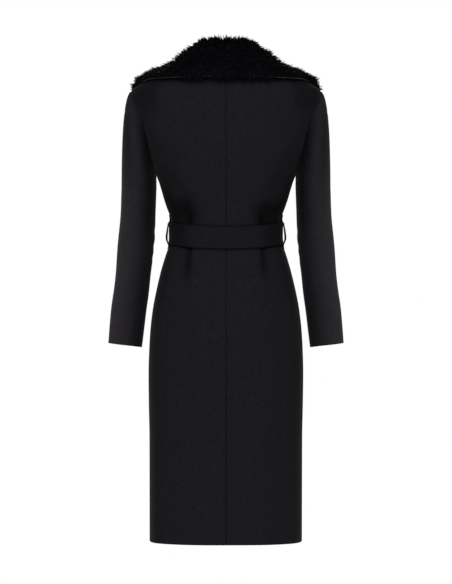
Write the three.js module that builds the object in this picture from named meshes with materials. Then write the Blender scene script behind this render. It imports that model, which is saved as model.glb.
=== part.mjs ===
// Belted midi coat in heavy double-faced wool, with a wide fur fall collar, standing as it is worn.
// Millimetres, +Z up, the front faces -Y and the wearer's left is +X. The origin is the middle of the
// neck, level with the tops of the shoulder seams. Every piece is a cloth wall in its own node.
import * as THREE from 'three';

// Cloth and seams
const CLOTH = 2.5;
const COLLAR_CLOTH = 2.2;
const HALF_SEAM = 0.2;
const LAYER_GAP = 1.0;

// Body sections are superellipses with this power; sleeves are a little rounder
const BODY_POWER = 2.4;
const SLEEVE_POWER = 2.2;

// Levels of the body
const NAPE = -12;
const SHOULDER_END = -80;
const ARMPIT = -283;
const BREAK = -352;
const HEM = -1160;

// Belt and loops
const BELT_HIGH = 54;
const BELT_THICK = 4;
const BELT_MIDDLE = -422.5;
const BELT_SAG = 10.5;
const BELT_FRONT_SAG = 5;
const BELT_CLEAR = 1.2;
const LOOP_WIDE = 9;
const LOOP_THICK = 1.6;

// Fur collar
const FUR_GAP = 0.4;
const BINDING_SIZE = 2.4;
const NECK_GAP = 1.1;

// One row for each level of the body: half width, depth behind and depth in front of the side seam
const BODY = [
  { z: 0, half: 74, back: 50, front: 34 },
  { z: -15, half: 110, back: 63, front: 56 },
  { z: -30, half: 145, back: 75, front: 72 },
  { z: -46, half: 182, back: 84, front: 85 },
  { z: -64, half: 207, back: 92, front: 95 },
  { z: -80, half: 227, back: 97, front: 102 },
  { z: -102, half: 229, back: 100, front: 110 },
  { z: -123, half: 226, back: 103, front: 116 },
  { z: -151, half: 219.5, back: 105, front: 123 },
  { z: -182, half: 212.5, back: 107, front: 129 },
  { z: -214, half: 199.5, back: 107, front: 133 },
  { z: -242, half: 185, back: 105.5, front: 134.5 },
  { z: -262, half: 175, back: 104, front: 134 },
  { z: -283, half: 167, back: 101.5, front: 132 },
  { z: -293, half: 162.7, back: 100, front: 130 },
  { z: -317, half: 155, back: 96.5, front: 125 },
  { z: -341, half: 148, back: 93, front: 118 },
  { z: -365, half: 139.6, back: 89.5, front: 111 },
  { z: -379, half: 134, back: 88, front: 106 },
  { z: -395, half: 131.4, back: 86.5, front: 102 },
  { z: -413, half: 130.4, back: 86, front: 100 },
  { z: -430, half: 130.2, back: 87.5, front: 100.5 },
  { z: -446, half: 132, back: 91, front: 102 },
  { z: -458, half: 138.4, back: 95.5, front: 104.5 },
  { z: -470, half: 142.8, back: 99, front: 107 },
  { z: -485, half: 147.6, back: 104, front: 110 },
  { z: -509, half: 155, back: 112, front: 114 },
  { z: -557, half: 166.8, back: 127, front: 120 },
  { z: -605, half: 176, back: 134, front: 124 },
  { z: -653, half: 181.4, back: 135, front: 127 },
  { z: -701, half: 184, back: 133.5, front: 129 },
  { z: -749, half: 185.2, back: 132, front: 131 },
  { z: -821, half: 184.3, back: 130.5, front: 133 },
  { z: -917, half: 182.4, back: 130, front: 136 },
  { z: -1160, half: 182.2, back: 131, front: 142 },
];

// The armhole seam: how far out it runs at each level, behind and in front
const ARMHOLE = [
  { z: -80, behind: 226, ahead: 226 },
  { z: -90, behind: 225, ahead: 223 },
  { z: -102, behind: 222.5, ahead: 218 },
  { z: -123, behind: 213, ahead: 205 },
  { z: -151, behind: 201, ahead: 193 },
  { z: -182, behind: 192.5, ahead: 185 },
  { z: -214, behind: 184, ahead: 178 },
  { z: -242, behind: 176.5, ahead: 172.5 },
  { z: -262, behind: 171.5, ahead: 169.5 },
  { z: -275, behind: 168.5, ahead: 167.8 },
  { z: -283, behind: 167, ahead: 167 },
];

// The front edge: how far it lies from the middle on its own side, past the middle where it wraps
const FRONT_EDGE = [
  { z: 0, out: 66 },
  { z: -15, out: 71 },
  { z: -30, out: 72 },
  { z: -60, out: 69 },
  { z: -130, out: 57 },
  { z: -210, out: 40 },
  { z: -290, out: 20 },
  { z: -335, out: 8 },
  { z: -365, out: -6 },
  { z: -395, out: -34 },
  { z: -440, out: -62 },
  { z: -700, out: -70 },
  { z: -1160, out: -78 },
];

// The sleeve below the armpit: its two sides, where its middle lies and half its depth
const SLEEVE = [
  { z: -310, outer: 250.6, inner: 166.8, middle: -2, deep: 67 },
  { z: -365, outer: 253.2, inner: 168, middle: -4, deep: 65 },
  { z: -413, outer: 256.6, inner: 170.2, middle: -7, deep: 62 },
  { z: -461, outer: 260.4, inner: 174, middle: -12, deep: 59.5 },
  { z: -509, outer: 265.2, inner: 179, middle: -19, deep: 57 },
  { z: -557, outer: 270.6, inner: 184.6, middle: -27, deep: 53.5 },
  { z: -605, outer: 277, inner: 192, middle: -37, deep: 50 },
  { z: -653, outer: 281.5, inner: 198, middle: -47, deep: 47 },
  { z: -690, outer: 284.5, inner: 203, middle: -55, deep: 44 },
];
const CUFF = SLEEVE[SLEEVE.length - 1].z;
const CUFF_TILT = 5;
const CAP_ROWS = 7;
const ARM_ROWS = 9;

// Where the two seams of a sleeve run, in degrees round it from the outer side by way of the back
const SLEEVE_SEAMS = [
  { z: -80, behind: 112, ahead: -128 },
  { z: -310, behind: 124, ahead: -134 },
  { z: -444, behind: 129, ahead: -136 },
  { z: -594, behind: 121, ahead: -134 },
  { z: -690, behind: 114, ahead: -132 },
];

// Waist folds of one side of the back: place, depth, half width, middle level and half height
const FOLDS = [
  { across: 84, deep: 6, wide: 15, level: -382, tall: 34 },
  { across: 84, deep: 5, wide: 13, level: -478, tall: 36 },
  { across: 108, deep: 3, wide: 16, level: -352, tall: 40 },
];

// The collar behind, from the middle of the back to the shoulder seam. It starts on the neck seam, at
// that turn round the neck in degrees, stands that high to its roll and falls to its edge. Puff is how
// far the fall is rounded, fur is how deep the fur is, and rim how deep it is at its edge.
const COLLAR_BEHIND = [
  { turn: 0, stand: 43.5, lean: 3, puff: 5, fur: 13, rim: 5.5, edgeX: 0, edgeY: 104, edgeZ: -48 },
  { turn: 26, stand: 40, lean: 4, puff: 5, fur: 13, rim: 5.5, edgeX: 66, edgeY: 102, edgeZ: -48.5 },
  { turn: 55, stand: 24.5, lean: 4, puff: 2, fur: 11.5, rim: 6, edgeX: 126, edgeY: 88, edgeZ: -50.5 },
  { turn: 82, stand: 11, lean: 4, puff: 0, fur: 9.5, rim: 9, edgeX: 183, edgeY: 52, edgeZ: -52.5 },
];

// The collar in front, down to the end of the lapel. It rolls at the coat's front edge, at that level,
// and stands that far out from the coat and above the edge.
const COLLAR_AHEAD = [
  { level: 0, stand: 5, rise: 8, puff: 0, fur: 9.5, rim: 15, edgeX: 204, edgeY: 4, edgeZ: -66 },
  { level: -32, stand: 9, rise: 3, puff: 1, fur: 10.5, rim: 12, edgeX: 202, edgeY: -48, edgeZ: -96 },
  { level: -72, stand: 9, rise: 0, puff: 4, fur: 12, rim: 7, edgeX: 193, edgeY: -84, edgeZ: -140 },
  { level: -138, stand: 9, rise: 0, puff: 5, fur: 13, rim: 5.5, edgeX: 168, edgeY: -112, edgeZ: -196 },
  { level: -214, stand: 9, rise: 0, puff: 5, fur: 13, rim: 5.5, edgeX: 132, edgeY: -128, edgeZ: -262 },
  { level: -286, stand: 9, rise: 0, puff: 5, fur: 13, rim: 5.5, edgeX: 84, edgeY: -128, edgeZ: -322 },
  { level: -328, stand: 8, rise: 0, puff: 5, fur: 13, rim: 5.5, edgeX: 48, edgeY: -117, edgeZ: -352 },
  { level: -344, stand: 7, rise: 0, puff: 5, fur: 13, rim: 5.5, edgeX: 31, edgeY: -113, edgeZ: -363 },
];

const clamp = (value, low, high) => Math.min(Math.max(value, low), high);
const mix = (a, b, share) => a + (b - a) * share;
const smooth = (low, high, value) => {
  const share = clamp((value - low) / (high - low), 0, 1);
  return share * share * (3 - 2 * share);
};
const radians = THREE.MathUtils.degToRad;

// A column of a table at any place along its key, on a curve that never overshoots its rows
function read(table, key, column, place) {
  const count = table.length;
  const rising = table[count - 1][key] > table[0][key] ? 1 : -1;
  let i = 0;
  while (i < count - 2 && (table[i + 1][key] - place) * rising < 0) i += 1;
  const slope = (j) => (table[j + 1][column] - table[j][column]) / (table[j + 1][key] - table[j][key]);
  const tangent = (j) => {
    if (j === 0) return slope(0);
    if (j === count - 1) return slope(count - 2);
    const before = slope(j - 1);
    const after = slope(j);
    return before * after <= 0 ? 0 : (2 * before * after) / (before + after);
  };
  const step = table[i + 1][key] - table[i][key];
  const share = clamp((place - table[i][key]) / step, 0, 1);
  const left = 1 - share;
  return (
    table[i][column] * (1 + 2 * share) * left * left +
    tangent(i) * step * share * left * left +
    table[i + 1][column] * share * share * (3 - 2 * share) -
    tangent(i + 1) * step * share * share * left
  );
}

const halfAt = (z) => read(BODY, 'z', 'half', z);
const depthAt = (z, behind) => read(BODY, 'z', behind ? 'back' : 'front', z);
const signedPower = (value, power) => Math.sign(value) * Math.abs(value) ** power;

// A point of the body's outer face. The angle is 0 at the middle of the back, a quarter turn at the
// side and half a turn at the middle of the front.
function bodyPoint(angle, z) {
  const behind = Math.cos(angle) >= 0;
  const x = halfAt(z) * signedPower(Math.sin(angle), 2 / BODY_POWER);
  const y = depthAt(z, behind) * signedPower(Math.cos(angle), 2 / BODY_POWER);
  return new THREE.Vector3(x, y, z);
}

// The angle at which the body's section lies that far out
function angleOut(out, z, behind) {
  const turn = Math.asin(clamp(Math.abs(out) / halfAt(z), 0, 1) ** (BODY_POWER / 2)) * Math.sign(out);
  return behind ? turn : Math.PI - turn;
}

// How far a point lies outside the body, roughly, and the way straight out
function awayFromBody(point) {
  const size = (x, y, z) =>
    ((Math.abs(x) / halfAt(z)) ** BODY_POWER + (Math.abs(y) / depthAt(z, y >= 0)) ** BODY_POWER) **
    (1 / BODY_POWER);
  const nudge = 0.5;
  const { x, y, z } = point;
  const here = size(x, y, z);
  const way = new THREE.Vector3(
    size(x + nudge, y, z) - size(x - nudge, y, z),
    size(x, y + nudge, z) - size(x, y - nudge, z),
    size(x, y, z + nudge) - size(x, y, z - nudge),
  ).divideScalar(2 * nudge);
  const steepness = way.length();
  return { distance: (here - 1) / steepness, way: way.divideScalar(steepness) };
}

// Moves a point out until it is clear of the body by that much
function lift(point, clear) {
  const lifted = point.clone();
  for (let pass = 0; pass < 6; pass += 1) {
    const { distance, way } = awayFromBody(lifted);
    if (distance >= clear) break;
    lifted.addScaledVector(way, Math.min(clear - distance, 12));
  }
  return lifted;
}

// Closed solid from a grid of outer points and one of inner points
function solidBetween(outer, inner, closedRound = false) {
  const rows = outer.length;
  const columns = outer[0].length;
  const points = [...outer.flat(), ...inner.flat()];
  const triangles = [];
  const quad = (a, b, c, d) => triangles.push(a, b, c, a, c, d);
  const front = (i, j) => i * columns + (j % columns);
  const rear = (i, j) => rows * columns + front(i, j);
  const spans = closedRound ? columns : columns - 1;
  for (let i = 0; i < rows - 1; i += 1) {
    for (let j = 0; j < spans; j += 1) {
      quad(front(i, j), front(i, j + 1), front(i + 1, j + 1), front(i + 1, j));
      quad(rear(i, j), rear(i + 1, j), rear(i + 1, j + 1), rear(i, j + 1));
    }
  }
  for (let j = 0; j < spans; j += 1) {
    quad(front(0, j), rear(0, j), rear(0, j + 1), front(0, j + 1));
    quad(front(rows - 1, j), front(rows - 1, j + 1), rear(rows - 1, j + 1), rear(rows - 1, j));
  }
  for (let i = 0; i < rows - 1 && !closedRound; i += 1) {
    quad(front(i, 0), front(i + 1, 0), rear(i + 1, 0), rear(i, 0));
    quad(front(i, spans), rear(i, spans), rear(i + 1, spans), front(i + 1, spans));
  }
  return solid(points, triangles);
}

// Geometry from points and triangles, turned so that its faces point out
function solid(points, triangles) {
  const volume = (a, b, c) => points[a].dot(new THREE.Vector3().crossVectors(points[b], points[c]));
  let total = 0;
  for (let k = 0; k < triangles.length; k += 3) {
    total += volume(triangles[k], triangles[k + 1], triangles[k + 2]);
  }
  if (total < 0) triangles.reverse();
  const geometry = new THREE.BufferGeometry();
  geometry.setAttribute('position', new THREE.Float32BufferAttribute(points.flatMap((p) => p.toArray()), 3));
  geometry.setIndex(triangles);
  geometry.computeVertexNormals();
  return geometry;
}

// The outward normals of a grid; outside is a rough way out at each point
function gridNormals(grid, outside, closedRound = false) {
  const rows = grid.length;
  const columns = grid[0].length;
  return grid.map((row, i) =>
    row.map((point, j) => {
      const left = closedRound ? grid[i][(j + columns - 1) % columns] : grid[i][Math.max(j - 1, 0)];
      const right = closedRound ? grid[i][(j + 1) % columns] : grid[i][Math.min(j + 1, columns - 1)];
      const along = right.clone().sub(left);
      const down = grid[Math.min(i + 1, rows - 1)][j].clone().sub(grid[Math.max(i - 1, 0)][j]);
      const normal = along.cross(down).normalize();
      return normal.dot(outside(point, i, j)) < 0 ? normal.negate() : normal;
    }),
  );
}

const moved = (grid, normals, by) =>
  grid.map((row, i) => row.map((point, j) => point.clone().addScaledVector(normals[i][j], by)));

// A cloth wall whose outer face is the grid
function wall(grid, thickness, outside, closedRound = false) {
  const normals = gridNormals(grid, outside, closedRound);
  return solidBetween(grid, moved(grid, normals, -thickness), closedRound);
}

const mirrored = (grid) => grid.map((row) => row.map((p) => new THREE.Vector3(-p.x, p.y, p.z)));
const fromAxis = (point) => new THREE.Vector3(point.x, point.y, 0);

// Even steps from one value to another, both ends included
const steps = (from, to, count) => Array.from({ length: count + 1 }, (_, i) => mix(from, to, i / count));

// Levels of the rows of the body from the hem to the ends of the shoulders
const BODY_LEVELS = [
  ...steps(HEM, -650, 6),
  ...steps(-600, -470, 4),
  ...steps(-452, -384, 5),
  ...steps(-366, ARMPIT, 4),
  ...steps(-262, SHOULDER_END, 9),
];
const SHOULDER_ROWS = 6;
const PANEL_COLUMNS = 9;

// The depth of the waist folds at a place on the back
function foldDepth(x, z) {
  return FOLDS.reduce((sum, fold) => {
    const sideways = (Math.abs(x) - fold.across) / fold.wide;
    const upright = (z - fold.level) / fold.tall;
    return sum + fold.deep * Math.exp(-sideways * sideways - upright * upright * upright * upright);
  }, 0);
}

// The armhole's angle round the body at a level, for the back or the front panel
function armholeAngle(z, behind) {
  if (z <= ARMPIT || z >= SHOULDER_END) return Math.PI / 2;
  return angleOut(read(ARMHOLE, 'z', behind ? 'behind' : 'ahead', z), z, behind);
}

// The level of the neck seam at an angle round the neck
const neckLevel = (angle) => (Math.cos(angle) > 0 ? NAPE * Math.cos(angle) ** 4 : 0);

// Rows of a torso panel on the wearer's left. Above the ends of the shoulders the rows lean from the
// nape to the tops of the shoulder seams.
function torsoRows(innerAngle, outerAngle, columns, shape) {
  const levels = [
    ...BODY_LEVELS.map((z) => ({ z, rise: 0 })),
    ...steps(0, 1, SHOULDER_ROWS).slice(1).map((rise) => ({ z: SHOULDER_END, rise })),
  ];
  return levels.map(({ z, rise }) => {
    const level = mix(z, 0, rise);
    return steps(0, 1, columns).map((share) => {
      const angle = mix(innerAngle(level), outerAngle(level), share);
      const place = mix(z, neckLevel(angle), rise);
      return shape(angle, place, level);
    });
  });
}

function backPanel() {
  const middle = (z) => angleOut(HALF_SEAM, z, true);
  const side = (z) => armholeAngle(z, true) - seamShare(z, true);
  return torsoRows(middle, side, PANEL_COLUMNS, (angle, z) => {
    const point = bodyPoint(angle, z);
    point.y -= foldDepth(point.x, z);
    return point;
  });
}

// How far a panel's side edge stops short of the seam, as an angle
function seamShare(z, behind) {
  const edge = bodyPoint(armholeAngle(z, behind), z);
  const nearby = bodyPoint(armholeAngle(z, behind) + (behind ? -0.01 : 0.01), z);
  return (HALF_SEAM * 0.01) / edge.distanceTo(nearby);
}

// One front, from the side to its front edge. The left front lies under the right one.
function frontPanel(under) {
  const side = (z) => armholeAngle(z, false) + seamShare(z, false);
  const edge = (z) => angleOut(read(FRONT_EDGE, 'z', 'out', z), z, false);
  return torsoRows(side, edge, PANEL_COLUMNS + 1, (angle, z) => {
    const point = bodyPoint(angle, z);
    if (under) {
      const below = smooth(BREAK + 50, BREAK, z);
      const inward = smooth(130, 92, point.x);
      point.y += (CLOTH + 1.6) * below * inward;
    }
    return point;
  });
}

// The armhole seam in space, on the panels' own edge points. The angle goes round from the top by way
// of the back.
function armholePoint(angle) {
  const z = mix(ARMPIT, SHOULDER_END, (1 + Math.cos(angle)) / 2);
  const behind = Math.sin(angle) >= 0;
  const below = Math.min(BODY_LEVELS.findLastIndex((level) => level <= z), BODY_LEVELS.length - 2);
  const [low, high] = [BODY_LEVELS[below], BODY_LEVELS[below + 1]];
  const start = bodyPoint(armholeAngle(low, behind), low);
  return start.lerp(bodyPoint(armholeAngle(high, behind), high), (z - low) / (high - low));
}

function sleeveRing(angle, z) {
  const outer = read(SLEEVE, 'z', 'outer', z);
  const inner = read(SLEEVE, 'z', 'inner', z);
  const round = 2 / SLEEVE_POWER;
  return new THREE.Vector3(
    (outer + inner) / 2 + ((outer - inner) / 2) * signedPower(Math.cos(angle), round),
    read(SLEEVE, 'z', 'middle', z) + read(SLEEVE, 'z', 'deep', z) * signedPower(Math.sin(angle), round),
    z + CUFF_TILT * Math.cos(angle) * smooth(-560, CUFF, z),
  );
}

// The cap leaves the armhole outwards at the top and downwards at the armpit
function sleeveCap(angle, share) {
  const start = armholePoint(angle);
  const end = sleeveRing(angle, SLEEVE[0].z);
  const drop = start.z - end.z;
  const top = (1 + Math.cos(angle)) / 2;
  const leave = new THREE.Vector3(70 * top * top + 26 * Math.sin(angle) ** 2, 12 * Math.sin(angle), -drop);
  leave.z *= mix(1, 0.09, top);
  const arrive = new THREE.Vector3(0, 0, -drop);
  const left = 1 - share;
  return start
    .multiplyScalar((1 + 2 * share) * left * left)
    .addScaledVector(leave, share * left * left)
    .addScaledVector(end, share * share * (3 - 2 * share))
    .addScaledVector(arrive, -share * share * left);
}

// A point of the sleeve's outer face: down is 0 to 1 over the cap and 1 to 2 along the arm
function sleevePoint(angle, down) {
  if (down > 1) return sleeveRing(angle, mix(SLEEVE[0].z, CUFF, down - 1));
  const point = sleeveCap(angle, down);
  point.x += 2.5 * HALF_SEAM * (1 - down);
  return point;
}

// The way straight out of a sleeve at one of its points
function sleeveNormal(angle, down) {
  const nudge = 0.01;
  const round = sleevePoint(angle + nudge, down).sub(sleevePoint(angle - nudge, down));
  const along = sleevePoint(angle, Math.min(down + nudge, 2)).sub(sleevePoint(angle, Math.max(down - nudge, 0)));
  return along.cross(round).normalize();
}

// Rows of a sleeve piece between two seams, its outer face and its inner one
function sleevePiece(from, to, columns) {
  const seamGap = radians(0.2);
  const rows = [...steps(0, 1, CAP_ROWS), ...steps(1, 2, ARM_ROWS).slice(1)];
  const places = rows.map((down) => {
    const z = down < 1 ? mix(SHOULDER_END, SLEEVE[0].z, down) : mix(SLEEVE[0].z, CUFF, down - 1);
    return steps(from(z) + seamGap, to(z) - seamGap, columns).map((angle) => ({ angle, down }));
  });
  const outer = places.map((row) => row.map(({ angle, down }) => sleevePoint(angle, down)));
  const normals = places.map((row) => row.map(({ angle, down }) => sleeveNormal(angle, down)));
  return { outer, inner: moved(outer, normals, -CLOTH) };
}

const behindSeam = (z) => radians(read(SLEEVE_SEAMS, 'z', 'behind', z));
const aheadSeam = (z) => radians(read(SLEEVE_SEAMS, 'z', 'ahead', z));

// The belt lies on the coat and sags at the middle of the back
function beltRing() {
  const columns = 4 * PANEL_COLUMNS;
  const rows = steps(-BELT_HIGH / 2, BELT_HIGH / 2, 4);
  return rows.map((up) =>
    steps(0, 1, columns).slice(0, columns).map((share) => {
      const angle = share * 2 * Math.PI;
      const sag = (Math.cos(angle) > 0 ? BELT_SAG : BELT_FRONT_SAG) * Math.cos(angle) ** 2;
      const z = BELT_MIDDLE - sag + up;
      return lift(bodyPoint(angle, z), BELT_CLEAR + BELT_THICK);
    }),
  );
}

// A strip that follows a centre line, with a way across and a way out at each of its points
function strip(line, width, thickness, across, outward) {
  const outer = line.map((point, i) =>
    [-0.5, 0, 0.5].map((side) => point.clone().addScaledVector(across(i), side * width(i))),
  );
  const inner = outer.map((row, i) => row.map((point) => point.clone().addScaledVector(outward(i), -thickness)));
  return solidBetween(outer, inner);
}

// A belt loop bulges clear of the belt over the side seam
const LOOP = [
  { z: -379, out: 137 },
  { z: -387, out: 135.9 },
  { z: -392, out: 136.4 },
  { z: -394.6, out: 139.4 },
  { z: -402, out: 140.4 },
  { z: -411, out: 142.2 },
  { z: -420, out: 143.6 },
  { z: -430, out: 144.4 },
  { z: -440, out: 144.6 },
  { z: -450.6, out: 144 },
  { z: -454, out: 141.4 },
  { z: -459, out: 141.9 },
  { z: -464, out: 143.6 },
];

function beltLoop(sign) {
  const line = LOOP.map((row) => new THREE.Vector3(sign * row.out, 0, row.z));
  const across = new THREE.Vector3(0, 1, 0);
  const out = new THREE.Vector3(sign, 0, 0);
  return strip(line, () => LOOP_WIDE, LOOP_THICK, () => across, () => out);
}

// The knot of the tied belt, a folded lump of cloth as high as the belt
const KNOT = { wide: 52, high: 60, deep: 24, rings: 9, around: 14 };
const KNOT_GAP = 0.4;

// How thick the knot is at a share of its half height, as a share of its girth in the middle
const knotGirth = (up) => Math.sin(Math.acos(-up)) ** 0.5;

function knotCentre() {
  const middle = BELT_MIDDLE - BELT_FRONT_SAG;
  const backs = steps(-0.9, 0.9, 6).map((up) => {
    const face = lift(bodyPoint(Math.PI, middle + (up * KNOT.high) / 2), BELT_CLEAR + BELT_THICK);
    return face.y - (KNOT.deep / 2) * knotGirth(up);
  });
  return new THREE.Vector3(0, Math.min(...backs) - KNOT_GAP, middle);
}

function beltKnot() {
  const centre = knotCentre();
  const rings = steps(0, 1, KNOT.rings).slice(1, KNOT.rings).map((share) => {
    const up = -Math.cos(share * Math.PI);
    const girth = knotGirth(up);
    return steps(0, 1, KNOT.around).slice(0, KNOT.around).map((turn) => {
      const angle = turn * 2 * Math.PI;
      const pinch = 1 - 0.14 * Math.exp(-((up - 0.1) ** 2) * 9);
      return new THREE.Vector3(
        centre.x + (KNOT.wide / 2) * girth * pinch * signedPower(Math.cos(angle), 0.7),
        centre.y + (KNOT.deep / 2) * girth * signedPower(Math.sin(angle), 0.7),
        centre.z + (KNOT.high / 2) * up,
      );
    });
  });
  return capped(rings);
}

// A closed lump from rings, closed by a point at each end
function capped(rings) {
  const around = rings[0].length;
  const points = rings.flat();
  const triangles = [];
  const at = (i, j) => i * around + (j % around);
  for (let i = 0; i < rings.length - 1; i += 1) {
    for (let j = 0; j < around; j += 1) {
      triangles.push(at(i, j), at(i, j + 1), at(i + 1, j + 1), at(i, j), at(i + 1, j + 1), at(i + 1, j));
    }
  }
  [0, rings.length - 1].forEach((i) => {
    const middle = rings[i].reduce((sum, p) => sum.add(p), new THREE.Vector3()).divideScalar(around);
    points.push(middle);
    for (let j = 0; j < around; j += 1) {
      const pair = i === 0 ? [at(i, j + 1), at(i, j)] : [at(i, j), at(i, j + 1)];
      triangles.push(...pair, points.length - 1);
    }
  });
  return solid(points, triangles);
}

// The two ends of the belt hang from the knot and rest on the skirt
const BELT_ENDS = [
  { name: 'belt_end_left', lean: 40, start: 20, long: 430 },
  { name: 'belt_end_right', lean: -34, start: -21, long: 395 },
];
const END_ROWS = 12;
const END_THICK = 3.2;

// They start that far below the knot, held off the skirt by it, and settle on the skirt lower down
const END_DROP = 5.6;
const END_BOW = 11;
const END_TUCK = 0.62;
const END_TILT = 0.12;

function beltEnd(end) {
  const top = knotCentre().z - KNOT.high / 2 - END_DROP;
  const grid = steps(0, 1, END_ROWS).map((down) => {
    const width = BELT_HIGH * mix(END_TUCK, 1, smooth(0, 0.25, down));
    const middle = end.start + end.lean * down;
    return steps(-0.5, 0.5, 4).map((side) => {
      const x = middle + side * width;
      const z = top - end.long * down - side * end.lean * END_TILT;
      const bow = END_BOW * (1 - smooth(0, 0.3, down));
      const rest = bodyPoint(angleOut(x, z, false), z);
      return lift(rest, LAYER_GAP + END_THICK + bow);
    });
  });
  return wall(grid, END_THICK, () => new THREE.Vector3(0, -1, 0));
}

// Where the front edge lies on the coat's outer face, moved sideways a little
const frontEdgePoint = (z, aside) => bodyPoint(angleOut(read(FRONT_EDGE, 'z', 'out', z) + aside, z, false), z);

const COLLAR_CLEAR = LAYER_GAP + COLLAR_CLOTH + 0.4;

function collarBehind(row) {
  const angle = radians(row.turn);
  const neck = bodyPoint(angle, neckLevel(angle));
  const out = fromAxis(neck).normalize();
  neck.addScaledVector(out, -COLLAR_CLOTH).z += NECK_GAP;
  const roll = neck.clone().addScaledVector(out, row.lean);
  roll.z += row.stand;
  return { neck, roll, edge: new THREE.Vector3(row.edgeX, row.edgeY, row.edgeZ) };
}

function collarAhead(row) {
  const neck = lift(frontEdgePoint(row.level, -2), COLLAR_CLEAR);
  neck.z += NECK_GAP;
  const roll = lift(frontEdgePoint(row.level, 1), COLLAR_CLEAR + row.stand);
  roll.z += row.rise;
  return { neck, roll, edge: new THREE.Vector3(row.edgeX, row.edgeY, row.edgeZ) };
}

const COLLAR = [...COLLAR_BEHIND.map(collarBehind), ...COLLAR_AHEAD.map(collarAhead)];
const COLLAR_STEPS = 20;
const FALL_SHARES = [0.2, 0.4, 0.6, 0.8, 1];

function collarCorner(name, place) {
  const along = (axis) => read(COLLAR.map((row, i) => ({ i, value: row[name][axis] })), 'i', 'value', place);
  return new THREE.Vector3(along('x'), along('y'), along('z'));
}

// A size of the collar at a place along it, and the places of its sections on one side
const COLLAR_SIZES = [...COLLAR_BEHIND, ...COLLAR_AHEAD].map(({ puff, fur, rim }, i) => ({ i, puff, fur, rim }));
const collarSize = (name, place) => read(COLLAR_SIZES, 'i', name, place);
const COLLAR_PLACES = steps(0, COLLAR.length - 1, COLLAR_STEPS);

// One section of the collar's upper face: up the stand, over the roll and down the fall
function collarSection(place) {
  const neck = collarCorner('neck', place);
  const roll = collarCorner('roll', place);
  const edge = collarCorner('edge', place);
  const over = edge.clone().sub(roll).normalize();
  const rise = roll.clone().sub(neck);
  const turn = Math.min(7, rise.length() * 0.45);
  rise.normalize();
  const outward = over.clone().addScaledVector(rise, -over.dot(rise)).normalize();
  const before = roll.clone().addScaledVector(rise, -turn);
  const after = roll.clone().addScaledVector(outward, 1.3 * turn).addScaledVector(rise, -0.7 * turn);
  const top = roll.clone().addScaledVector(rise, 0.5).addScaledVector(outward, 0.45 * turn);
  const fall = FALL_SHARES.map((share) => {
    const point = after.clone().lerp(edge, share);
    return point.addScaledVector(rise, collarSize('puff', place) * Math.sin(Math.PI * share));
  });
  return [neck, before, top, after, ...fall];
}

// Moves each face of the collar out until its corners, sides and middle are clear of the coat
function clearOfBody(grid, firstFace) {
  const halves = [0, 0.5, 1];
  for (let pass = 0; pass < 8; pass += 1) {
    for (let i = 0; i < grid.length - 1; i += 1) {
      for (let j = firstFace(i); j < grid[0].length - 1; j += 1) {
        const corners = [grid[i][j], grid[i + 1][j], grid[i][j + 1], grid[i + 1][j + 1]];
        halves.flatMap((u) => halves.map((v) => [u, v])).forEach(([u, v]) => {
          const near = corners[0].clone().lerp(corners[1], u);
          const { distance, way } = awayFromBody(near.lerp(corners[2].clone().lerp(corners[3], u), v));
          const short = Math.min(COLLAR_CLEAR - distance, 6);
          if (short > 0) corners.forEach((corner) => corner.addScaledVector(way, short * 0.4));
        });
      }
    }
  }
  return grid;
}

function collarGrid() {
  const behind = COLLAR_BEHIND.length;
  const left = clearOfBody(COLLAR_PLACES.map(collarSection), (i) => (COLLAR_PLACES[i] < behind ? 3 : 0));
  const right = mirrored(left.slice(1)).reverse();
  return [...right, ...left];
}

// Normals of the collar, worked out across each section so that they turn evenly over the roll
function collarNormals(grid) {
  const last = grid.length - 1;
  return grid.map((row, i) => {
    const along = grid[Math.min(i + 1, last)][3].clone().sub(grid[Math.max(i - 1, 0)][3]).normalize();
    return row.map((point, j) => {
      const across = row[Math.min(j + 1, row.length - 1)].clone().sub(row[Math.max(j - 1, 0)]);
      return across.cross(along).normalize().negate();
    });
  });
}

// The fur's depth across a section, as a share of its full depth, up to the last part beside its rim
const FUR_SHARE = [0.35, 0.72, 1.12, 1.05, 1, 1, 0.96];
const BESIDE_RIM = 0.72;

function furDepths(place) {
  const [deep, rim] = [collarSize('fur', place), collarSize('rim', place)];
  return [...FUR_SHARE.map((share) => share * deep), mix(rim, deep, BESIDE_RIM), rim];
}

function collarPieces() {
  const grid = collarGrid();
  const normals = collarNormals(grid);
  const last = grid.length - 1;
  const cloth = solidBetween(grid, moved(grid, normals, -COLLAR_CLOTH));
  const taper = (i) => mix(0.4, 1, smooth(0, 5, Math.min(i, last - i)));
  const furInner = moved(grid, normals, FUR_GAP);
  const furOuter = furInner.map((row, i) => {
    const depths = furDepths(COLLAR_PLACES[Math.abs(i - COLLAR_STEPS)]);
    return row.map((point, j) => point.clone().addScaledVector(normals[i][j], depths[j] * taper(i)));
  });
  return { cloth, fur: solidBetween(furOuter, furInner), grid, normals };
}

// A narrow binding along the edge of the fall, from shoulder to shoulder
function collarBinding(grid, normals) {
  const reach = Math.round((COLLAR_STEPS * COLLAR_BEHIND.length) / (COLLAR.length - 1));
  const middle = COLLAR_STEPS;
  const rows = grid.slice(middle - reach, middle + reach + 1).map((row, k) => {
    const i = middle - reach + k;
    const edge = row[row.length - 1];
    const down = edge.clone().sub(row[row.length - 2]).normalize();
    const start = edge.clone().addScaledVector(down, FUR_GAP);
    const normal = normals[i][row.length - 1];
    return { start, down, normal };
  });
  const face = rows.map(({ start, down }) => [start, start.clone().addScaledVector(down, BINDING_SIZE)]);
  const inner = face.map((row, k) => row.map((p) => p.clone().addScaledVector(rows[k].normal, -BINDING_SIZE)));
  return solidBetween(face, inner);
}

const WOOL = { color: 0x1c1b1d, roughness: 0.95, metalness: 0 };
const FUR = { color: 0x08080a, roughness: 1, metalness: 0 };
const BINDING = { color: 0x77767a, roughness: 0.8, metalness: 0 };

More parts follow.
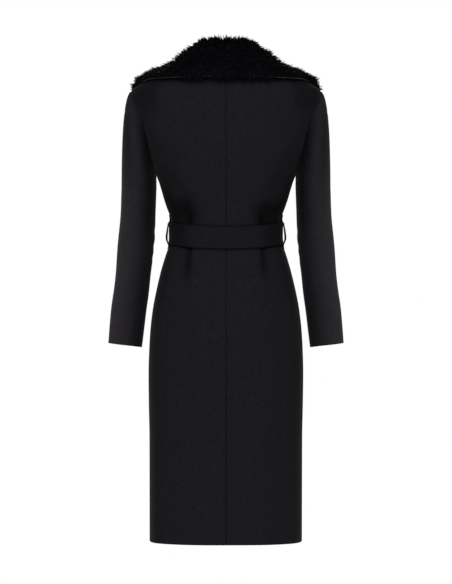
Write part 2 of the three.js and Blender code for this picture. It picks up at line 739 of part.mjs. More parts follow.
const coat = new THREE.Group();

function add(name, geometry, finish) {
  const mesh = new THREE.Mesh(geometry, new THREE.MeshStandardMaterial(finish));
  mesh.name = name;
  coat.add(mesh);
}

function addTorso() {
  const back = backPanel();
  add('back_left', wall(back, CLOTH, fromAxis), WOOL);
  add('back_right', wall(mirrored(back), CLOTH, fromAxis), WOOL);
  add('front_left', wall(frontPanel(true), CLOTH, fromAxis), WOOL);
  add('front_right', wall(mirrored(frontPanel(false)), CLOTH, fromAxis), WOOL);
}

function addSleeves() {
  const turned = (z) => aheadSeam(z) + 2 * Math.PI;
  const pieces = {
    sleeve_upper: sleevePiece(aheadSeam, behindSeam, 12),
    sleeve_under: sleevePiece(behindSeam, turned, 6),
  };
  Object.entries(pieces).forEach(([name, { outer, inner }]) => {
    add(`${name}_left`, solidBetween(outer, inner), WOOL);
    add(`${name}_right`, solidBetween(mirrored(outer), mirrored(inner)), WOOL);
  });
}

function addCollar() {
  const { cloth, fur, grid, normals } = collarPieces();
  add('under_collar', cloth, WOOL);
  add('fur_collar', fur, FUR);
  add('collar_binding', collarBinding(grid, normals), BINDING);
}

function addBelt() {
  add('belt', wall(beltRing(), BELT_THICK, fromAxis, true), WOOL);
  add('belt_knot', beltKnot(), WOOL);
  BELT_ENDS.forEach((end) => add(end.name, beltEnd(end), WOOL));
  add('belt_loop_left', beltLoop(1), WOOL);
  add('belt_loop_right', beltLoop(-1), WOOL);
}

addTorso();
addSleeves();
addCollar();
addBelt();

export default coat;
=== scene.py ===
import math

import bpy
import numpy as np
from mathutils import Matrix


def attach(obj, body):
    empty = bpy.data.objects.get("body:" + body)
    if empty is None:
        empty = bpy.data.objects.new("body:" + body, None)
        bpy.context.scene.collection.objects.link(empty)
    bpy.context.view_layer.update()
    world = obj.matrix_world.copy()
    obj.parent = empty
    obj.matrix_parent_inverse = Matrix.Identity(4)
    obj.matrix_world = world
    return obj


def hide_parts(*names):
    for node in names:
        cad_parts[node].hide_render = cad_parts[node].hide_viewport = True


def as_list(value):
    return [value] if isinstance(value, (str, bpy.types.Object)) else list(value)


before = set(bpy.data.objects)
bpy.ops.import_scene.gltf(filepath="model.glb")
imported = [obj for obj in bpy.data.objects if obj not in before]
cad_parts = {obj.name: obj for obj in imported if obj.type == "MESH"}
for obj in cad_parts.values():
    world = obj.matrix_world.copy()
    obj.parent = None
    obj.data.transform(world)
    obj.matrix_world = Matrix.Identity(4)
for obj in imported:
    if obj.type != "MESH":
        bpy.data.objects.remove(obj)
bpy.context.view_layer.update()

MM = 0.001

# Cloth and seams
CLOTH = 2.5
COLLAR_CLOTH = 2.2
HALF_SEAM = -0.1
EDGE_ROUND = 1.15
SEAM_DEEP = 1.3
SEAM_WIDE = 1.2
# How dark the painted shade in the seams' grooves is
SEAM_DARK = 0.5
STITCH_DEEP = 0.3
STITCH_PITCH = 4.2
STITCH_LONG = 3.0
STITCH_PUFF = 0.30
SHARP_ANGLE = 60
INNER_ROUND = 0.45
TOPSTITCH = 7.5
SLEEVE_TOPSTITCH = 6.0
SLEEVE_TUCK = 0.6
PANEL_TUCK = 2.4
LAYER_GAP = 1.0
LAP_GAP = 1.6
SEAM_TUCK = 1.2
BODY_POWER = 2.4
SLEEVE_POWER = 2.2

# Levels of the body
NAPE = -12
SHOULDER_END = -80
ARMPIT = -283
BREAK = -352
HEM = -1160

# Belt and loops
BELT_HIGH = 54
BELT_THICK = 4
BELT_MIDDLE = -422.5
BELT_SAG = 10.5
BELT_FRONT_SAG = 5
BELT_CLEAR = 1.2
BELT_TOPSTITCH = 5
BELT_PROUD = 2.0
LOOP_WIDE = 9
# The loops start 4 mm above their solids and end 6 mm short of them
LOOP_TOP = -375
LOOP_LOW = -458
# Painted shade that darkens the belt loops evenly
LOOP_DARK = 0.7
LOOP_ROWS = 100
BELT_SIDES = 260
# Darkening of the belt: even over all of it, and painted shade at its edges and towards its sides
BELT_DARK = 0.20
BELT_EDGE_DARK = 0.3
BELT_SIDE_DARK = 0.5
END_THICK = 3.2

# Fur collar
FUR_GAP = 0.4
FUR_DEEP = 13
FUR_BODY = 0.62
NECK_GAP = 1.1
BINDING_SIZE = 1.5
BINDING_REACH = 200
BINDING_BEHIND = 12
NECK_ASIDE = -2
ROLL_ASIDE = 1
NECK_CLEAR = 0.4
FALL_CLEAR = 1.2
ROLL_TURN = 7
STAND_SHARE = 0.35


def table(columns, rows):
    """A table with named columns, one row for each section."""
    values = np.array(rows, float)
    return {name: values[:, i] for i, name in enumerate(columns.split())}


BODY = table("z half back front", [
    (0, 74, 50, 34), (-15, 110, 63, 56), (-30, 145, 75, 72), (-46, 182, 84, 85),
    (-64, 207, 92, 95), (-80, 227, 97, 102), (-102, 229, 100, 110), (-123, 226, 103, 116),
    (-151, 219.5, 105, 123), (-182, 212.5, 107, 129), (-214, 199.5, 107, 133),
    (-242, 185, 105.5, 134.5), (-262, 175, 104, 134), (-283, 167, 101.5, 132),
    (-293, 162.7, 100, 130), (-317, 155, 96.5, 125), (-341, 148, 93, 118),
    (-365, 139.6, 89.5, 111), (-379, 134, 88, 106), (-395, 131.4, 86.5, 102),
    (-413, 130.4, 86, 100), (-430, 130.2, 87.5, 100.5), (-446, 132, 91, 102),
    (-458, 138.4, 95.5, 104.5), (-470, 142.8, 99, 107), (-485, 147.6, 104, 110), (-509, 155, 112, 114),
    (-557, 166.8, 127, 120), (-605, 176, 134, 124), (-653, 181.4, 135, 127),
    (-701, 184, 133.5, 129), (-749, 185.2, 132, 131), (-821, 184.3, 130.5, 133),
    (-917, 182.4, 130, 136), (-1160, 182.2, 131, 142),
])
ARMHOLE = table("z behind ahead", [
    (-80, 226, 226), (-90, 225, 223), (-102, 222.5, 218), (-123, 213, 205), (-151, 201, 193),
    (-182, 192.5, 185), (-214, 184, 178), (-242, 176.5, 172.5), (-262, 171.5, 169.5),
    (-275, 168.5, 167.8), (-283, 167, 167),
])
FRONT_EDGE = table("z out", [
    (0, 66), (-15, 71), (-30, 72), (-60, 69), (-130, 57), (-210, 40), (-290, 20), (-335, 8),
    (-365, -6), (-395, -34), (-440, -62), (-700, -70), (-1160, -78),
])
SLEEVE = table("z outer inner middle deep", [
    (-310, 250.6, 166.8, -2, 67), (-365, 253.2, 168, -4, 65), (-413, 256.6, 170.2, -7, 62),
    (-461, 260.4, 174, -12, 59.5), (-509, 265.2, 179, -19, 57), (-557, 270.6, 184.6, -27, 53.5),
    (-605, 277, 192, -37, 50), (-653, 281.5, 198, -47, 47), (-690, 284.5, 203, -55, 44),
])
CAP_END = -310
CUFF = -690
CUFF_TILT = 5
CAP_PUFF = 70
CAP_SIDE = 26
CAP_THROUGH = 12
CAP_SLOPE = 0.09
TUCK_SHARE = 0.012
ARM_MIDDLE = np.array([226, -20, 0])
SLEEVE_SEAMS = table("z behind ahead", [
    (-80, 112, -128), (-310, 124, -134), (-444, 129, -136), (-594, 121, -134), (-690, 114, -132),
])
COLLAR_BEHIND = table("turn stand lean puff fur rim edge_x edge_y edge_z", [
    (0, 43.5, 3, 5, 13, 5.5, 0, 104, -48), (26, 40, 4, 5, 13, 5.5, 66, 102, -48.5),
    (55, 24.5, 4, 2, 11.5, 6, 126, 88, -50.5), (82, 11, 4, 0, 9.5, 9, 183, 52, -52.5),
])
COLLAR_AHEAD = table("level stand rise puff fur rim edge_x edge_y edge_z", [
    (0, 5, 8, 0, 9.5, 15, 204, 4, -66), (-32, 9, 3, 1, 10.5, 12, 202, -48, -96),
    (-72, 9, 0, 4, 12, 7, 193, -84, -140), (-138, 9, 0, 5, 13, 5.5, 168, -112, -196),
    (-214, 9, 0, 5, 13, 5.5, 132, -128, -262), (-286, 9, 0, 5, 13, 5.5, 84, -128, -322),
    (-328, 8, 0, 5, 13, 5.5, 48, -117, -352), (-344, 7, 0, 5, 13, 5.5, 31, -113, -363),
])
# In both tables of folds the dark column is painted shade in each fold's hollow
BACK_FOLDS = table("out slant inner outer level up down deep dark uneven", [
    (93, 0.1, 27, 36, -374, 32, 34, 8, 0.8, 4), (84, -0.05, 2.2, 7, -394, 14, 18, 4.5, 0.5, 2),
    (87, -0.06, 5, 14, -478, 42, 44, 6.5, 0.7, -4), (96, -0.3, 12, 22, -516, 30, 40, 1.2, 0.14, 6),
    (40, 0.12, 12, 14, -384, 26, 24, 1.2, 0.05, 5), (138, 0.62, 9, 12, -336, 44, 36, 2.2, 0.2, 5),
    (116, 0.9, 8, 10, -300, 40, 40, 1.7, 0.10, -6), (176, 0.55, 9, 14, -190, 46, 46, 2.2, 0.20, 4),
    (196, 0.35, 8, 12, -120, 30, 40, 1.6, 0.12, -4), (60, 0.3, 10, 12, -330, 40, 26, 0.9, 0.05, 8),
    (70, 0.05, 16, 8, -384, 36, 30, -1.2, 0, 3), (72, -0.04, 16, 8, -486, 30, 36, -0.8, 0, -3),
])
FRONT_FOLDS = table("out slant inner outer level up down deep dark uneven", [
    (88, 0.05, 4, 20, -388, 34, 30, 7, 0.6, 4), (90, -0.08, 4, 15, -480, 34, 44, 6, 0.55, -5),
    (140, 0.6, 9, 12, -330, 44, 38, 2.4, 0.2, 3), (56, 0.4, 10, 14, -372, 34, 30, 1.6, 0.1, -4),
])
LOOP = table("z out thick", [
    (-379, 136.6, 4.0), (-387, 135.6, 5.2), (-392, 136.2, 6.4), (-394.2, 138.0, 8.4), (-396.6, 139.8, 9.8),
    (-397.4, 140, 2.9), (-402, 140.6, 3.0), (-411, 142.4, 3.8), (-420, 143.8, 4.6), (-430, 144.9, 4.8),
    (-436, 144.4, 4.6), (-441, 142.4, 3.8), (-446, 140.4, 2.9), (-447, 140, 7.4), (-449.4, 139.2, 7.2),
    (-454, 139.4, 5.4), (-459, 141.9, 4.6), (-464, 143.6, 3.0),
])
# Patches of painted shade: from where to where they grow across, and their level and height
SIDE_PATCHES = table("dark start full level high", [(0.25, 0.7, 0.95, -545, 70), (0.3, 0.5, 0.8, -310, 80)])
SLEEVE_PATCHES = table("dark start full level high", [(0.6, 0.45, 0.85, -190, 120), (0.3, 0.5, 0, -270, 90)])
BACK_SWELLS = table("raised out wide level high", [(2.4, 112, 42, -152, 58), (-1.6, 0, 36, -170, 110)])
# Creases inside the elbow: their level shifts with the sine and cosine of the angle round the arm
SLEEVE_CREASES = table("deep level sine cosine high", [
    (2.6, -452, 0, 0, 10), (2.0, -478, 9, 0, 8), (1.7, -424, 0, -8, 9),
])
# A stitch: how far along it each ring lies, how high, and how wide
STITCH = table("share height girth", [
    (0, -0.35, 0.16), (0.3, 0.22, 0.34), (0.7, 0.22, 0.34), (1.0, -0.35, 0.16),
])


def bell(value, middle, width):
    return np.exp(-(((value - middle) / width) ** 2))


def smooth(low, high, value):
    share = np.clip((value - low) / (high - low), 0, 1)
    return share * share * (3 - 2 * share)


def mix(a, b, share):
    return a + (b - a) * share


def between(start, leave, end, arrive, share):
    """A curve from start to end that leaves and arrives in given directions."""
    left = 1 - share
    return (
        start * (1 + 2 * share) * left ** 2
        + leave * share * left ** 2
        + end * share ** 2 * (3 - 2 * share)
        - arrive * share ** 2 * left
    )


def curve_at(keys, values, place):
    """Values at places along their keys, on a curve that never overshoots them."""
    if keys[-1] < keys[0]:
        keys, values = keys[::-1], values[::-1]
    slope = np.diff(values) / np.diff(keys)
    product = slope[:-1] * slope[1:]
    total = np.where(slope[:-1] + slope[1:] == 0, 1, slope[:-1] + slope[1:])
    inner = np.where(product > 0, 2 * product / total, 0)
    tangent = np.concatenate([slope[:1], inner, slope[-1:]])
    place = np.clip(np.asarray(place, float), keys[0], keys[-1])
    i = np.clip(np.searchsorted(keys, place, side="right") - 1, 0, len(keys) - 2)
    step = keys[i + 1] - keys[i]
    share = (place - keys[i]) / step
    return between(values[i], tangent[i] * step, values[i + 1], tangent[i + 1] * step, share)


def read(rows, column, z):
    """A column of a table at a level."""
    return curve_at(rows["z"], rows[column], z)


def signed_power(value, power):
    return np.sign(value) * np.abs(value) ** power


def unit(vectors):
    return vectors / np.maximum(np.linalg.norm(vectors, axis=-1, keepdims=True), 1e-9)


def half_at(z):
    return read(BODY, "half", z)


def depth_at(z, behind):
    return np.where(behind, read(BODY, "back", z), read(BODY, "front", z))


def body_point(angle, z):
    """A point of the body's outer face: angle 0 is the middle of the back, pi the middle of the front."""
    angle, z = np.broadcast_arrays(np.asarray(angle, float), np.asarray(z, float))
    x = half_at(z) * signed_power(np.sin(angle), 2 / BODY_POWER)
    y = depth_at(z, np.cos(angle) >= 0) * signed_power(np.cos(angle), 2 / BODY_POWER)
    return np.stack([x, y, z], axis=-1)


def angle_out(out, z, behind):
    """The angle at which the body's section lies that far out."""
    share = np.clip(np.abs(out) / half_at(z), 0, 1)
    turn = np.arcsin(share ** (BODY_POWER / 2)) * np.sign(out)
    return turn if behind else np.pi - turn


def body_size(x, y, z):
    across = (np.abs(x) / half_at(z)) ** BODY_POWER
    through = (np.abs(y) / depth_at(z, y >= 0)) ** BODY_POWER
    return (across + through) ** (1 / BODY_POWER)


def away_from_body(points):
    """How far points lie outside the body, roughly, and the way straight out."""
    nudge = 0.5
    x, y, z = points[..., 0], points[..., 1], points[..., 2]
    way = np.stack([
        body_size(x + nudge, y, z) - body_size(x - nudge, y, z),
        body_size(x, y + nudge, z) - body_size(x, y - nudge, z),
        body_size(x, y, z + nudge) - body_size(x, y, z - nudge),
    ], axis=-1) / (2 * nudge)
    steepness = np.maximum(np.linalg.norm(way, axis=-1), 1e-9)
    return (body_size(x, y, z) - 1) / steepness, way / steepness[..., None]


def lift(points, clear):
    """Moves points out until they are clear of the body by that much."""
    points = np.array(points, float)
    for _ in range(8):
        distance, way = away_from_body(points)
        points += way * np.clip(clear - distance, 0, 12)[..., None]
    return points


def lengths_along(line):
    """The length along a line from its first point to each of its points."""
    return np.concatenate([[0], np.cumsum(np.linalg.norm(np.diff(line, axis=0), axis=1))])


def points_at(places, keys, line):
    """Points of a line at places along its keys."""
    return np.stack([np.interp(places, keys, line[:, axis]) for axis in range(3)], axis=-1)


def grid_normals(grid, closed=False):
    """Normals of a grid whose columns run round and whose rows run up."""
    if closed:
        along = np.roll(grid, -1, axis=1) - np.roll(grid, 1, axis=1)
    else:
        along = np.gradient(grid, axis=1)
    return unit(np.cross(along, np.gradient(grid, axis=0)))


def make_object(name, points, faces, material, smooth_shading=True):
    mesh = bpy.data.meshes.new(name)
    mesh.from_pydata([], [], [])
    faces = np.asarray(faces, int)
    corners = faces.shape[1]
    mesh.vertices.add(len(points))
    mesh.vertices.foreach_set("co", (np.asarray(points, float) * MM).ravel())
    mesh.loops.add(faces.size)
    mesh.loops.foreach_set("vertex_index", faces.ravel())
    mesh.polygons.add(len(faces))
    mesh.polygons.foreach_set("loop_start", np.arange(0, faces.size, corners))
    mesh.polygons.foreach_set("use_smooth", np.full(len(faces), smooth_shading))
    mesh.update(calc_edges=True)
    mesh.validate()
    mesh.materials.append(material)
    piece = bpy.data.objects.new(name, mesh)
    bpy.context.scene.collection.objects.link(piece)
    return piece


def wall_faces(rows, columns, closed=False):
    """Faces of a wall: its outer grid, its inner grid and the rims between them."""
    count = columns if closed else columns - 1
    i, j = np.meshgrid(np.arange(rows - 1), np.arange(count), indexing="ij")
    a, b = i * columns + j, i * columns + (j + 1) % columns
    c, d = b + columns, a + columns
    outer = np.stack([a, b, c, d], axis=-1).reshape(-1, 4)
    back = rows * columns
    inner = np.stack([a, d, c, b], axis=-1).reshape(-1, 4) + back
    j = np.arange(count)
    low, high = j, (j + 1) % columns
    top = (rows - 1) * columns
    rims = [
        np.stack([high, low, low + back, high + back], axis=-1),
        np.stack([top + low, top + high, top + high + back, top + low + back], axis=-1),
    ]
    if not closed:
        i = np.arange(rows - 1) * columns
        last = i + columns - 1
        rims += [
            np.stack([i, i + columns, i + columns + back, i + back], axis=-1),
            np.stack([last + columns, last, last + back, last + columns + back], axis=-1),
        ]
    return np.concatenate([outer, inner, *rims])


def wall_points(outer, inner):
    return np.concatenate([outer.reshape(-1, 3), inner.reshape(-1, 3)])


def ring_faces(count, sides):
    """Faces of a row of closed rings, open at both ends."""
    i, j = np.meshgrid(np.arange(count - 1), np.arange(sides), indexing="ij")
    a, b = i * sides + j, i * sides + (j + 1) % sides
    return np.stack([a, b, b + sides, a + sides], axis=-1).reshape(-1, 4)


def edge_sink(distance):
    """How far a face sinks at that distance from a rounded edge."""
    near = np.clip(EDGE_ROUND - distance, 0, EDGE_ROUND)
    return EDGE_ROUND - np.sqrt(EDGE_ROUND ** 2 - near ** 2)


def from_edges(grid):
    """How far each point of a grid lies from its first and last columns and its first and last rows."""
    def along(axis):
        steps = np.linalg.norm(np.diff(grid, axis=axis), axis=-1)
        start = np.zeros_like(np.take(steps, [0], axis=axis))
        return np.concatenate([start, np.cumsum(steps, axis=axis)], axis=axis)
    across, up = along(1), along(0)
    return across, across[:, -1:] - across, up, up[-1:] - up


def paint_shade(piece, dark):
    """Keeps at each point how much painted shade darkens the cloth's colour."""
    layer = piece.data.attributes.new("crease_and_shade", "FLOAT", "POINT")
    layer.data.foreach_set("value", np.clip(np.concatenate([dark.ravel(), dark.ravel()]), 0, 1))


def wall(name, grid, thickness, material, relief=0.0, dark=0.0, free=None, closed=False):
    """A cloth wall whose outer face is the grid, raised by the relief and rounded at its free edges."""
    normals = grid_normals(grid, closed)
    sink = np.zeros(grid.shape[:2]) if free is None else edge_sink(free)
    outer = grid + normals * (relief - sink)[..., None]
    inner = grid + normals * (relief - thickness + np.minimum(sink, INNER_ROUND * thickness))[..., None]
    faces = wall_faces(*grid.shape[:2], closed)
    piece = make_object(name, wall_points(outer, inner), faces, material)
    piece.data.set_sharp_from_angle(angle=math.radians(SHARP_ANGLE))
    paint_shade(piece, dark + np.zeros(grid.shape[:2]))
    return piece, outer, normals


def seam(distance):
    """The groove where two pieces of cloth meet."""
    return -SEAM_DEEP * bell(distance, 0, SEAM_WIDE)


# Painted shade in the groove where two pieces of cloth meet
def seam_dark(distance):
    return SEAM_DARK * bell(distance, 0, SEAM_WIDE)


def topstitch(distance, place):
    """A sewn line along a seam: the cloth is puffed between the seam and the line, which is sunk."""
    return STITCH_PUFF * bell(distance, place / 2, place / 3) - STITCH_DEEP * bell(distance, place, 1.0)


def line_across(face, normals, distance, place):
    """Points and normals where a line at that distance from an edge crosses each row of a face."""
    points, ways = [], []
    for row, way, along in zip(face, normals, distance):
        order = np.argsort(along)
        points.append([np.interp(place, along[order], row[order, a]) for a in range(3)])
        ways.append([np.interp(place, along[order], way[order, a]) for a in range(3)])
    return np.array(points), unit(np.array(ways))


def stitches(name, lines, material):
    """Sewn stitches along lines of points and normals, each a small spindle, joined in one mesh."""
    points, faces = [], []
    for line, ways in lines:
        along = lengths_along(line)
        starts = np.arange(STITCH_PITCH, along[-1] - STITCH_PITCH, STITCH_PITCH)
        places = starts[:, None] + STITCH["share"][None] * STITCH_LONG
        spine = points_at(places, along, line)
        normal = unit(points_at(places, along, ways))
        side = unit(np.cross(normal, np.gradient(spine, axis=1)))
        height = STITCH["height"][None, :, None]
        girth = STITCH["girth"][None, :, None]
        corners = [(1, 0), (0, 1), (-1, 0), (0, -1)]
        ring = [spine + normal * (height + girth * up) + side * girth * over for over, up in corners]
        ring = np.stack(ring, axis=2)
        first = sum(len(p) for p in points)
        points.append(ring.reshape(-1, 3))
        levels, sides = len(STITCH["share"]), len(corners)
        ends = np.arange(sides)
        caps = [-ends % sides, ends + (levels - 1) * sides]
        quads = np.concatenate([caps, ring_faces(levels, sides)])
        each = first + np.arange(len(starts)) * levels * sides
        faces.append((quads[None] + each[:, None, None]).reshape(-1, 4))
    return make_object(name, np.concatenate(points), np.concatenate(faces), material)


# Materials

def node_tree(name):
    material = bpy.data.materials.new(name)
    material.use_nodes = True
    nodes = material.node_tree.nodes
    return material, nodes, material.node_tree.links, nodes["Principled BSDF"]


def noise(nodes, links, coordinates, scale, detail, stretch=(1, 1, 1), roughness=0.5):
    mapping = nodes.new("ShaderNodeMapping")
    mapping.inputs["Scale"].default_value = stretch
    links.new(coordinates.outputs["Object"], mapping.inputs["Vector"])
    texture = nodes.new("ShaderNodeTexNoise")
    texture.inputs["Scale"].default_value = scale
    texture.inputs["Detail"].default_value = detail
    texture.inputs["Roughness"].default_value = roughness
    links.new(mapping.outputs["Vector"], texture.inputs["Vector"])
    return texture


def ramp(nodes, links, source, stops):
    colors = nodes.new("ShaderNodeValToRGB")
    colors.color_ramp.elements[0].position = stops[0][0]
    colors.color_ramp.elements[0].color = (*stops[0][1], 1)
    colors.color_ramp.elements[1].position = stops[-1][0]
    colors.color_ramp.elements[1].color = (*stops[-1][1], 1)
    for position, color in stops[1:-1]:
        element = colors.color_ramp.elements.new(position)
        element.color = (*color, 1)
    links.new(source.outputs["Fac"], colors.inputs["Fac"])
    return colors


def bump(nodes, links, source, strength, distance, below=None):
    bumps = nodes.new("ShaderNodeBump")
    bumps.inputs["Strength"].default_value = strength
    bumps.inputs["Distance"].default_value = distance
    links.new(source.outputs["Fac"], bumps.inputs["Height"])
    if below is not None:
        links.new(below.outputs["Normal"], bumps.inputs["Normal"])
    return bumps


WOOL_SHADE = (0.0016, 0.0014, 0.0018)
WOOL_DARK = (0.0062, 0.0056, 0.0068)
WOOL_MIDDLE = (0.0096, 0.0087, 0.0104)
WOOL_LIGHT = (0.0160, 0.0146, 0.0172)
FUR_DARK = (0.0018, 0.0015, 0.0023)
FUR_LIGHT = (0.0078, 0.0066, 0.0094)
BINDING_DARK = (0.006, 0.006, 0.007)
BINDING_LIGHT = (0.048, 0.044, 0.047)
FLOOR_DARK = (0.78, 0.78, 0.79)
FLOOR_LIGHT = (0.84, 0.84, 0.84)
# Grains of the wool: scale, detail, stretch and roughness
WOOL_NAP = (420, 4, (1, 1, 0.28), 0.65)
WOOL_FIBRE = (1500, 2, (1, 1, 0.35), 0.6)
WOOL_CLOUD = (9, 3)


def wool_material():
    """Milled double-faced wool: mottled near-black with a short nap brushed downwards, mixed towards a shade
    colour where painted shade is kept on the mesh.
    """
    material, nodes, links, shader = node_tree("milled_wool")
    place = nodes.new("ShaderNodeTexCoord")
    nap_and_shade = noise(nodes, links, place, *WOOL_NAP)
    fibre = noise(nodes, links, place, *WOOL_FIBRE)
    cloud = noise(nodes, links, place, *WOOL_CLOUD)
    tone = ramp(nodes, links, nap_and_shade, [(0.28, WOOL_DARK), (0.52, WOOL_MIDDLE), (0.80, WOOL_LIGHT)])
    # Painted shade: the darkness kept on the mesh mixes the colour towards WOOL_SHADE
    crease_and_shade = nodes.new("ShaderNodeAttribute")
    crease_and_shade.attribute_name = "crease_and_shade"
    shaded = nodes.new("ShaderNodeMix")
    shaded.data_type = "RGBA"
    links.new(crease_and_shade.outputs["Fac"], shaded.inputs["Factor"])
    links.new(tone.outputs["Color"], shaded.inputs["A"])
    shaded.inputs["B"].default_value = (*WOOL_SHADE, 1)
    links.new(shaded.outputs["Result"], shader.inputs["Base Color"])
    rough = nodes.new("ShaderNodeMapRange")
    rough.inputs["To Min"].default_value = 0.78
    rough.inputs["To Max"].default_value = 0.95
    links.new(cloud.outputs["Fac"], rough.inputs["Value"])
    links.new(rough.outputs["Result"], shader.inputs["Roughness"])
    shader.inputs["Specular IOR Level"].default_value = 0.04
    shader.inputs["Sheen Weight"].default_value = 0.04
    shader.inputs["Sheen Roughness"].default_value = 0.45
    shader.inputs["Sheen Tint"].default_value = (0.85, 0.85, 0.92, 1)
    soft = bump(nodes, links, nap_and_shade, 0.45, 0.0006)
    fine = bump(nodes, links, fibre, 0.35, 0.00025, soft)
    links.new(fine.outputs["Normal"], shader.inputs["Normal"])
    return material


def grained_material(name, grain, stops, roughness, gloss=None, relief=None):
    """A material whose colour and fine relief follow one grain."""
    material, nodes, links, shader = node_tree(name)
    texture = noise(nodes, links, nodes.new("ShaderNodeTexCoord"), *grain)
    tone = ramp(nodes, links, texture, stops)
    links.new(tone.outputs["Color"], shader.inputs["Base Color"])
    shader.inputs["Roughness"].default_value = roughness
    if gloss is not None:
        shader.inputs["Specular IOR Level"].default_value = gloss
    if relief is not None:
        links.new(bump(nodes, links, texture, *relief).outputs["Normal"], shader.inputs["Normal"])
    return material


def fur_material(name, dark, light):
    """Fur: very dark at the skin, with a faint gloss along the hairs."""
    stops = [(0.35, dark), (0.75, light)]
    return grained_material(name, (260, 3, (1, 1, 1), 0.6), stops, 0.6, 0.04, (0.5, 0.0008))


def binding_material():
    stops = [(0.38, BINDING_DARK), (0.62, BINDING_LIGHT)]
    return grained_material("hide_edge", (70, 3), stops, 0.7, relief=(0.4, 0.0005))


def thread_material():
    stops = [(0.3, WOOL_DARK), (0.7, WOOL_LIGHT)]
    return grained_material("black_thread", (2400, 1), stops, 0.5, 0.12, (0.5, 0.0002))


WOOL = wool_material()
FUR = fur_material("fur_hair", FUR_DARK, FUR_LIGHT)
FUR_SKIN = fur_material("fur_under", FUR_DARK, FUR_DARK)
BINDING = binding_material()
THREAD = thread_material()


def dress(piece, slot, *nodes):
    """Gives a piece its body and hides the solids that it stands for; the slot is not used."""
    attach(piece, "root")
    if nodes:
        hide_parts(*nodes)
    return piece


# Flat cut of each kind of sheet in metres, without seam allowance: across, along, area and how it is held
CUTS = {
    "back": (0.275, 1.20, 0.277, "hung"),
    "front": (0.345, 1.24, 0.320, "hung"),
    "sleeve_upper": (0.30, 0.66, 0.130, "hung"),
    "sleeve_under": (0.14, 0.48, 0.0426, "hung"),
    "belt": (0.054, 0.74, None, "stretched"),
    "belt_end_left": (0.054, 0.43, None, "hung"),
    "belt_end_right": (0.054, 0.395, None, "hung"),
    "belt_loop": (0.010, 0.087, None, "hung"),
    "under_collar": (0.20, 1.36, 0.157, "folded"),
    "fur_collar": (0.20, 1.36, 0.157, "folded"),
}
RESTS = {
    "sleeve_upper": ("back_left", "back_right"),
    "sleeve_under": ("sleeve_upper_left", "sleeve_upper_right"),
    "belt": ("back_left", "back_right", "front_right"),
    "belt_end_left": ("belt_knot",),
    "belt_end_right": ("belt_knot",),
    "belt_loop": ("back_left", "back_right"),
    "under_collar": ("back_left", "back_right", "front_left", "front_right"),
    "fur_collar": ("under_collar",),
}


def declare_sheet(piece, kind):
    """Looks up the flat cut of a sheet, how it is held and what it lies on or hangs from, without using them.
    """
    across, along, area, held = CUTS[kind]
    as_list(RESTS.get(kind, ()))


# Body

EDGE_STEPS = np.array([0, 0.35, 1.2, 2.6, 4.6, 6.4, 7.6, 8.8, 11])
# Rows of the skirt, waist and chest: from, to and how far apart
LEVEL_STEPS = ((HEM + 11, -500, 7.5), (-500, -360, 4.0), (-360, -112, 6.0))
FINE = 160


def spread(total, steps_start, steps_end, count):
    """Distances from 0 to a total, close together near both ends."""
    reach = steps_start[-1] + steps_end[-1]
    scale = min(1.0, 0.6 * total / reach)
    start, end = steps_start * scale, total - steps_end[::-1] * scale
    middle = np.linspace(start[-1], end[0], count + 2)[1:-1]
    return np.concatenate([start, middle, end])


def body_levels():
    """Rows of a panel: its level, and how far it leans towards the neck seam."""
    hem = HEM + EDGE_STEPS[:5]
    plain = [np.arange(*steps) for steps in LEVEL_STEPS]
    head = SHOULDER_END - 32 * np.linspace(1, 0, 14) ** 1.6
    levels = np.concatenate([hem, *plain, head])
    rise = np.concatenate([np.linspace(0, 0.97, 26)[1:], [0.985, 0.995, 1]])
    return (
        np.concatenate([levels, np.full(len(rise), SHOULDER_END)]),
        np.concatenate([np.zeros(len(levels)), rise]),
    )


def tucked(z):
    """How far a panel runs on under the sleeve at the armhole seam."""
    return PANEL_TUCK * smooth(ARMPIT, ARMPIT + 12, z) * smooth(SHOULDER_END, SHOULDER_END - 8, z)


def armhole_angle(z, behind):
    if z <= ARMPIT or z >= SHOULDER_END:
        return np.pi / 2
    return float(angle_out(read(ARMHOLE, "behind" if behind else "ahead", z) + tucked(z), z, behind))


def neck_level(angle):
    return np.where(np.cos(angle) > 0, NAPE * np.cos(angle) ** 4, 0.0)


def torso_grid(start_angle, end_angle, shape, count):
    """A grid of a torso panel, its columns spread evenly along each row between two seams."""
    grid = []
    for z, rise in zip(*body_levels()):
        level = mix(z, 0.0, rise)
        angles = np.linspace(start_angle(level), end_angle(level), FINE)
        row = shape(angles, mix(z, neck_level(angles), rise))
        along = lengths_along(row)
        total = along[-1] - 2 * HALF_SEAM
        places = HALF_SEAM + spread(total, EDGE_STEPS, EDGE_STEPS, count)
        turned = np.interp(places, along, angles)
        grid.append(shape(turned, mix(z, neck_level(turned), rise)))
    return np.array(grid)


def folds(rows, x, z, side):
    """Relief of folds and painted shade in their hollows, each sharp on its inner side and soft on its outer
    side.
    """
    relief, dark = np.zeros_like(x), np.zeros_like(x)
    for out, slant, inner, outer, level, up, down, deep, shade, uneven in zip(*rows.values()):
        across = x - out - slant * (z - level)
        width = np.where(across < 0, inner, outer)
        upright = (z - level) / np.where(z > level, up + uneven * side, down - uneven * side)
        shape = np.exp(-((across / width) ** 2) - np.abs(upright) ** 3)
        shape = shape * smooth(1.0, 0.88, x / half_at(z))
        relief -= deep * shape
        dark += shade * shape
    return relief, dark


def patches(rows, share, z):
    """Painted shade in patches that grow across a piece, each at its own level."""
    return sum(
        dark * smooth(start, full, share) * bell(z, level, high)
        for dark, start, full, level, high in zip(*rows.values())
    )


def side_dark(x, z):
    """Painted shade that darkens the cloth towards the sides of the waist, hips and skirt."""
    share = x / half_at(z)
    sides = 0.55 * smooth(0.82, 0.98, share) * smooth(ARMPIT + 10, ARMPIT - 20, z)
    sides = sides * mix(0.55, 1, smooth(-700, -600, z))
    skirt = 0.25 * smooth(0.75, 0.97, share) * smooth(-600, -700, z)
    return sides + skirt + patches(SIDE_PATCHES, share, z)


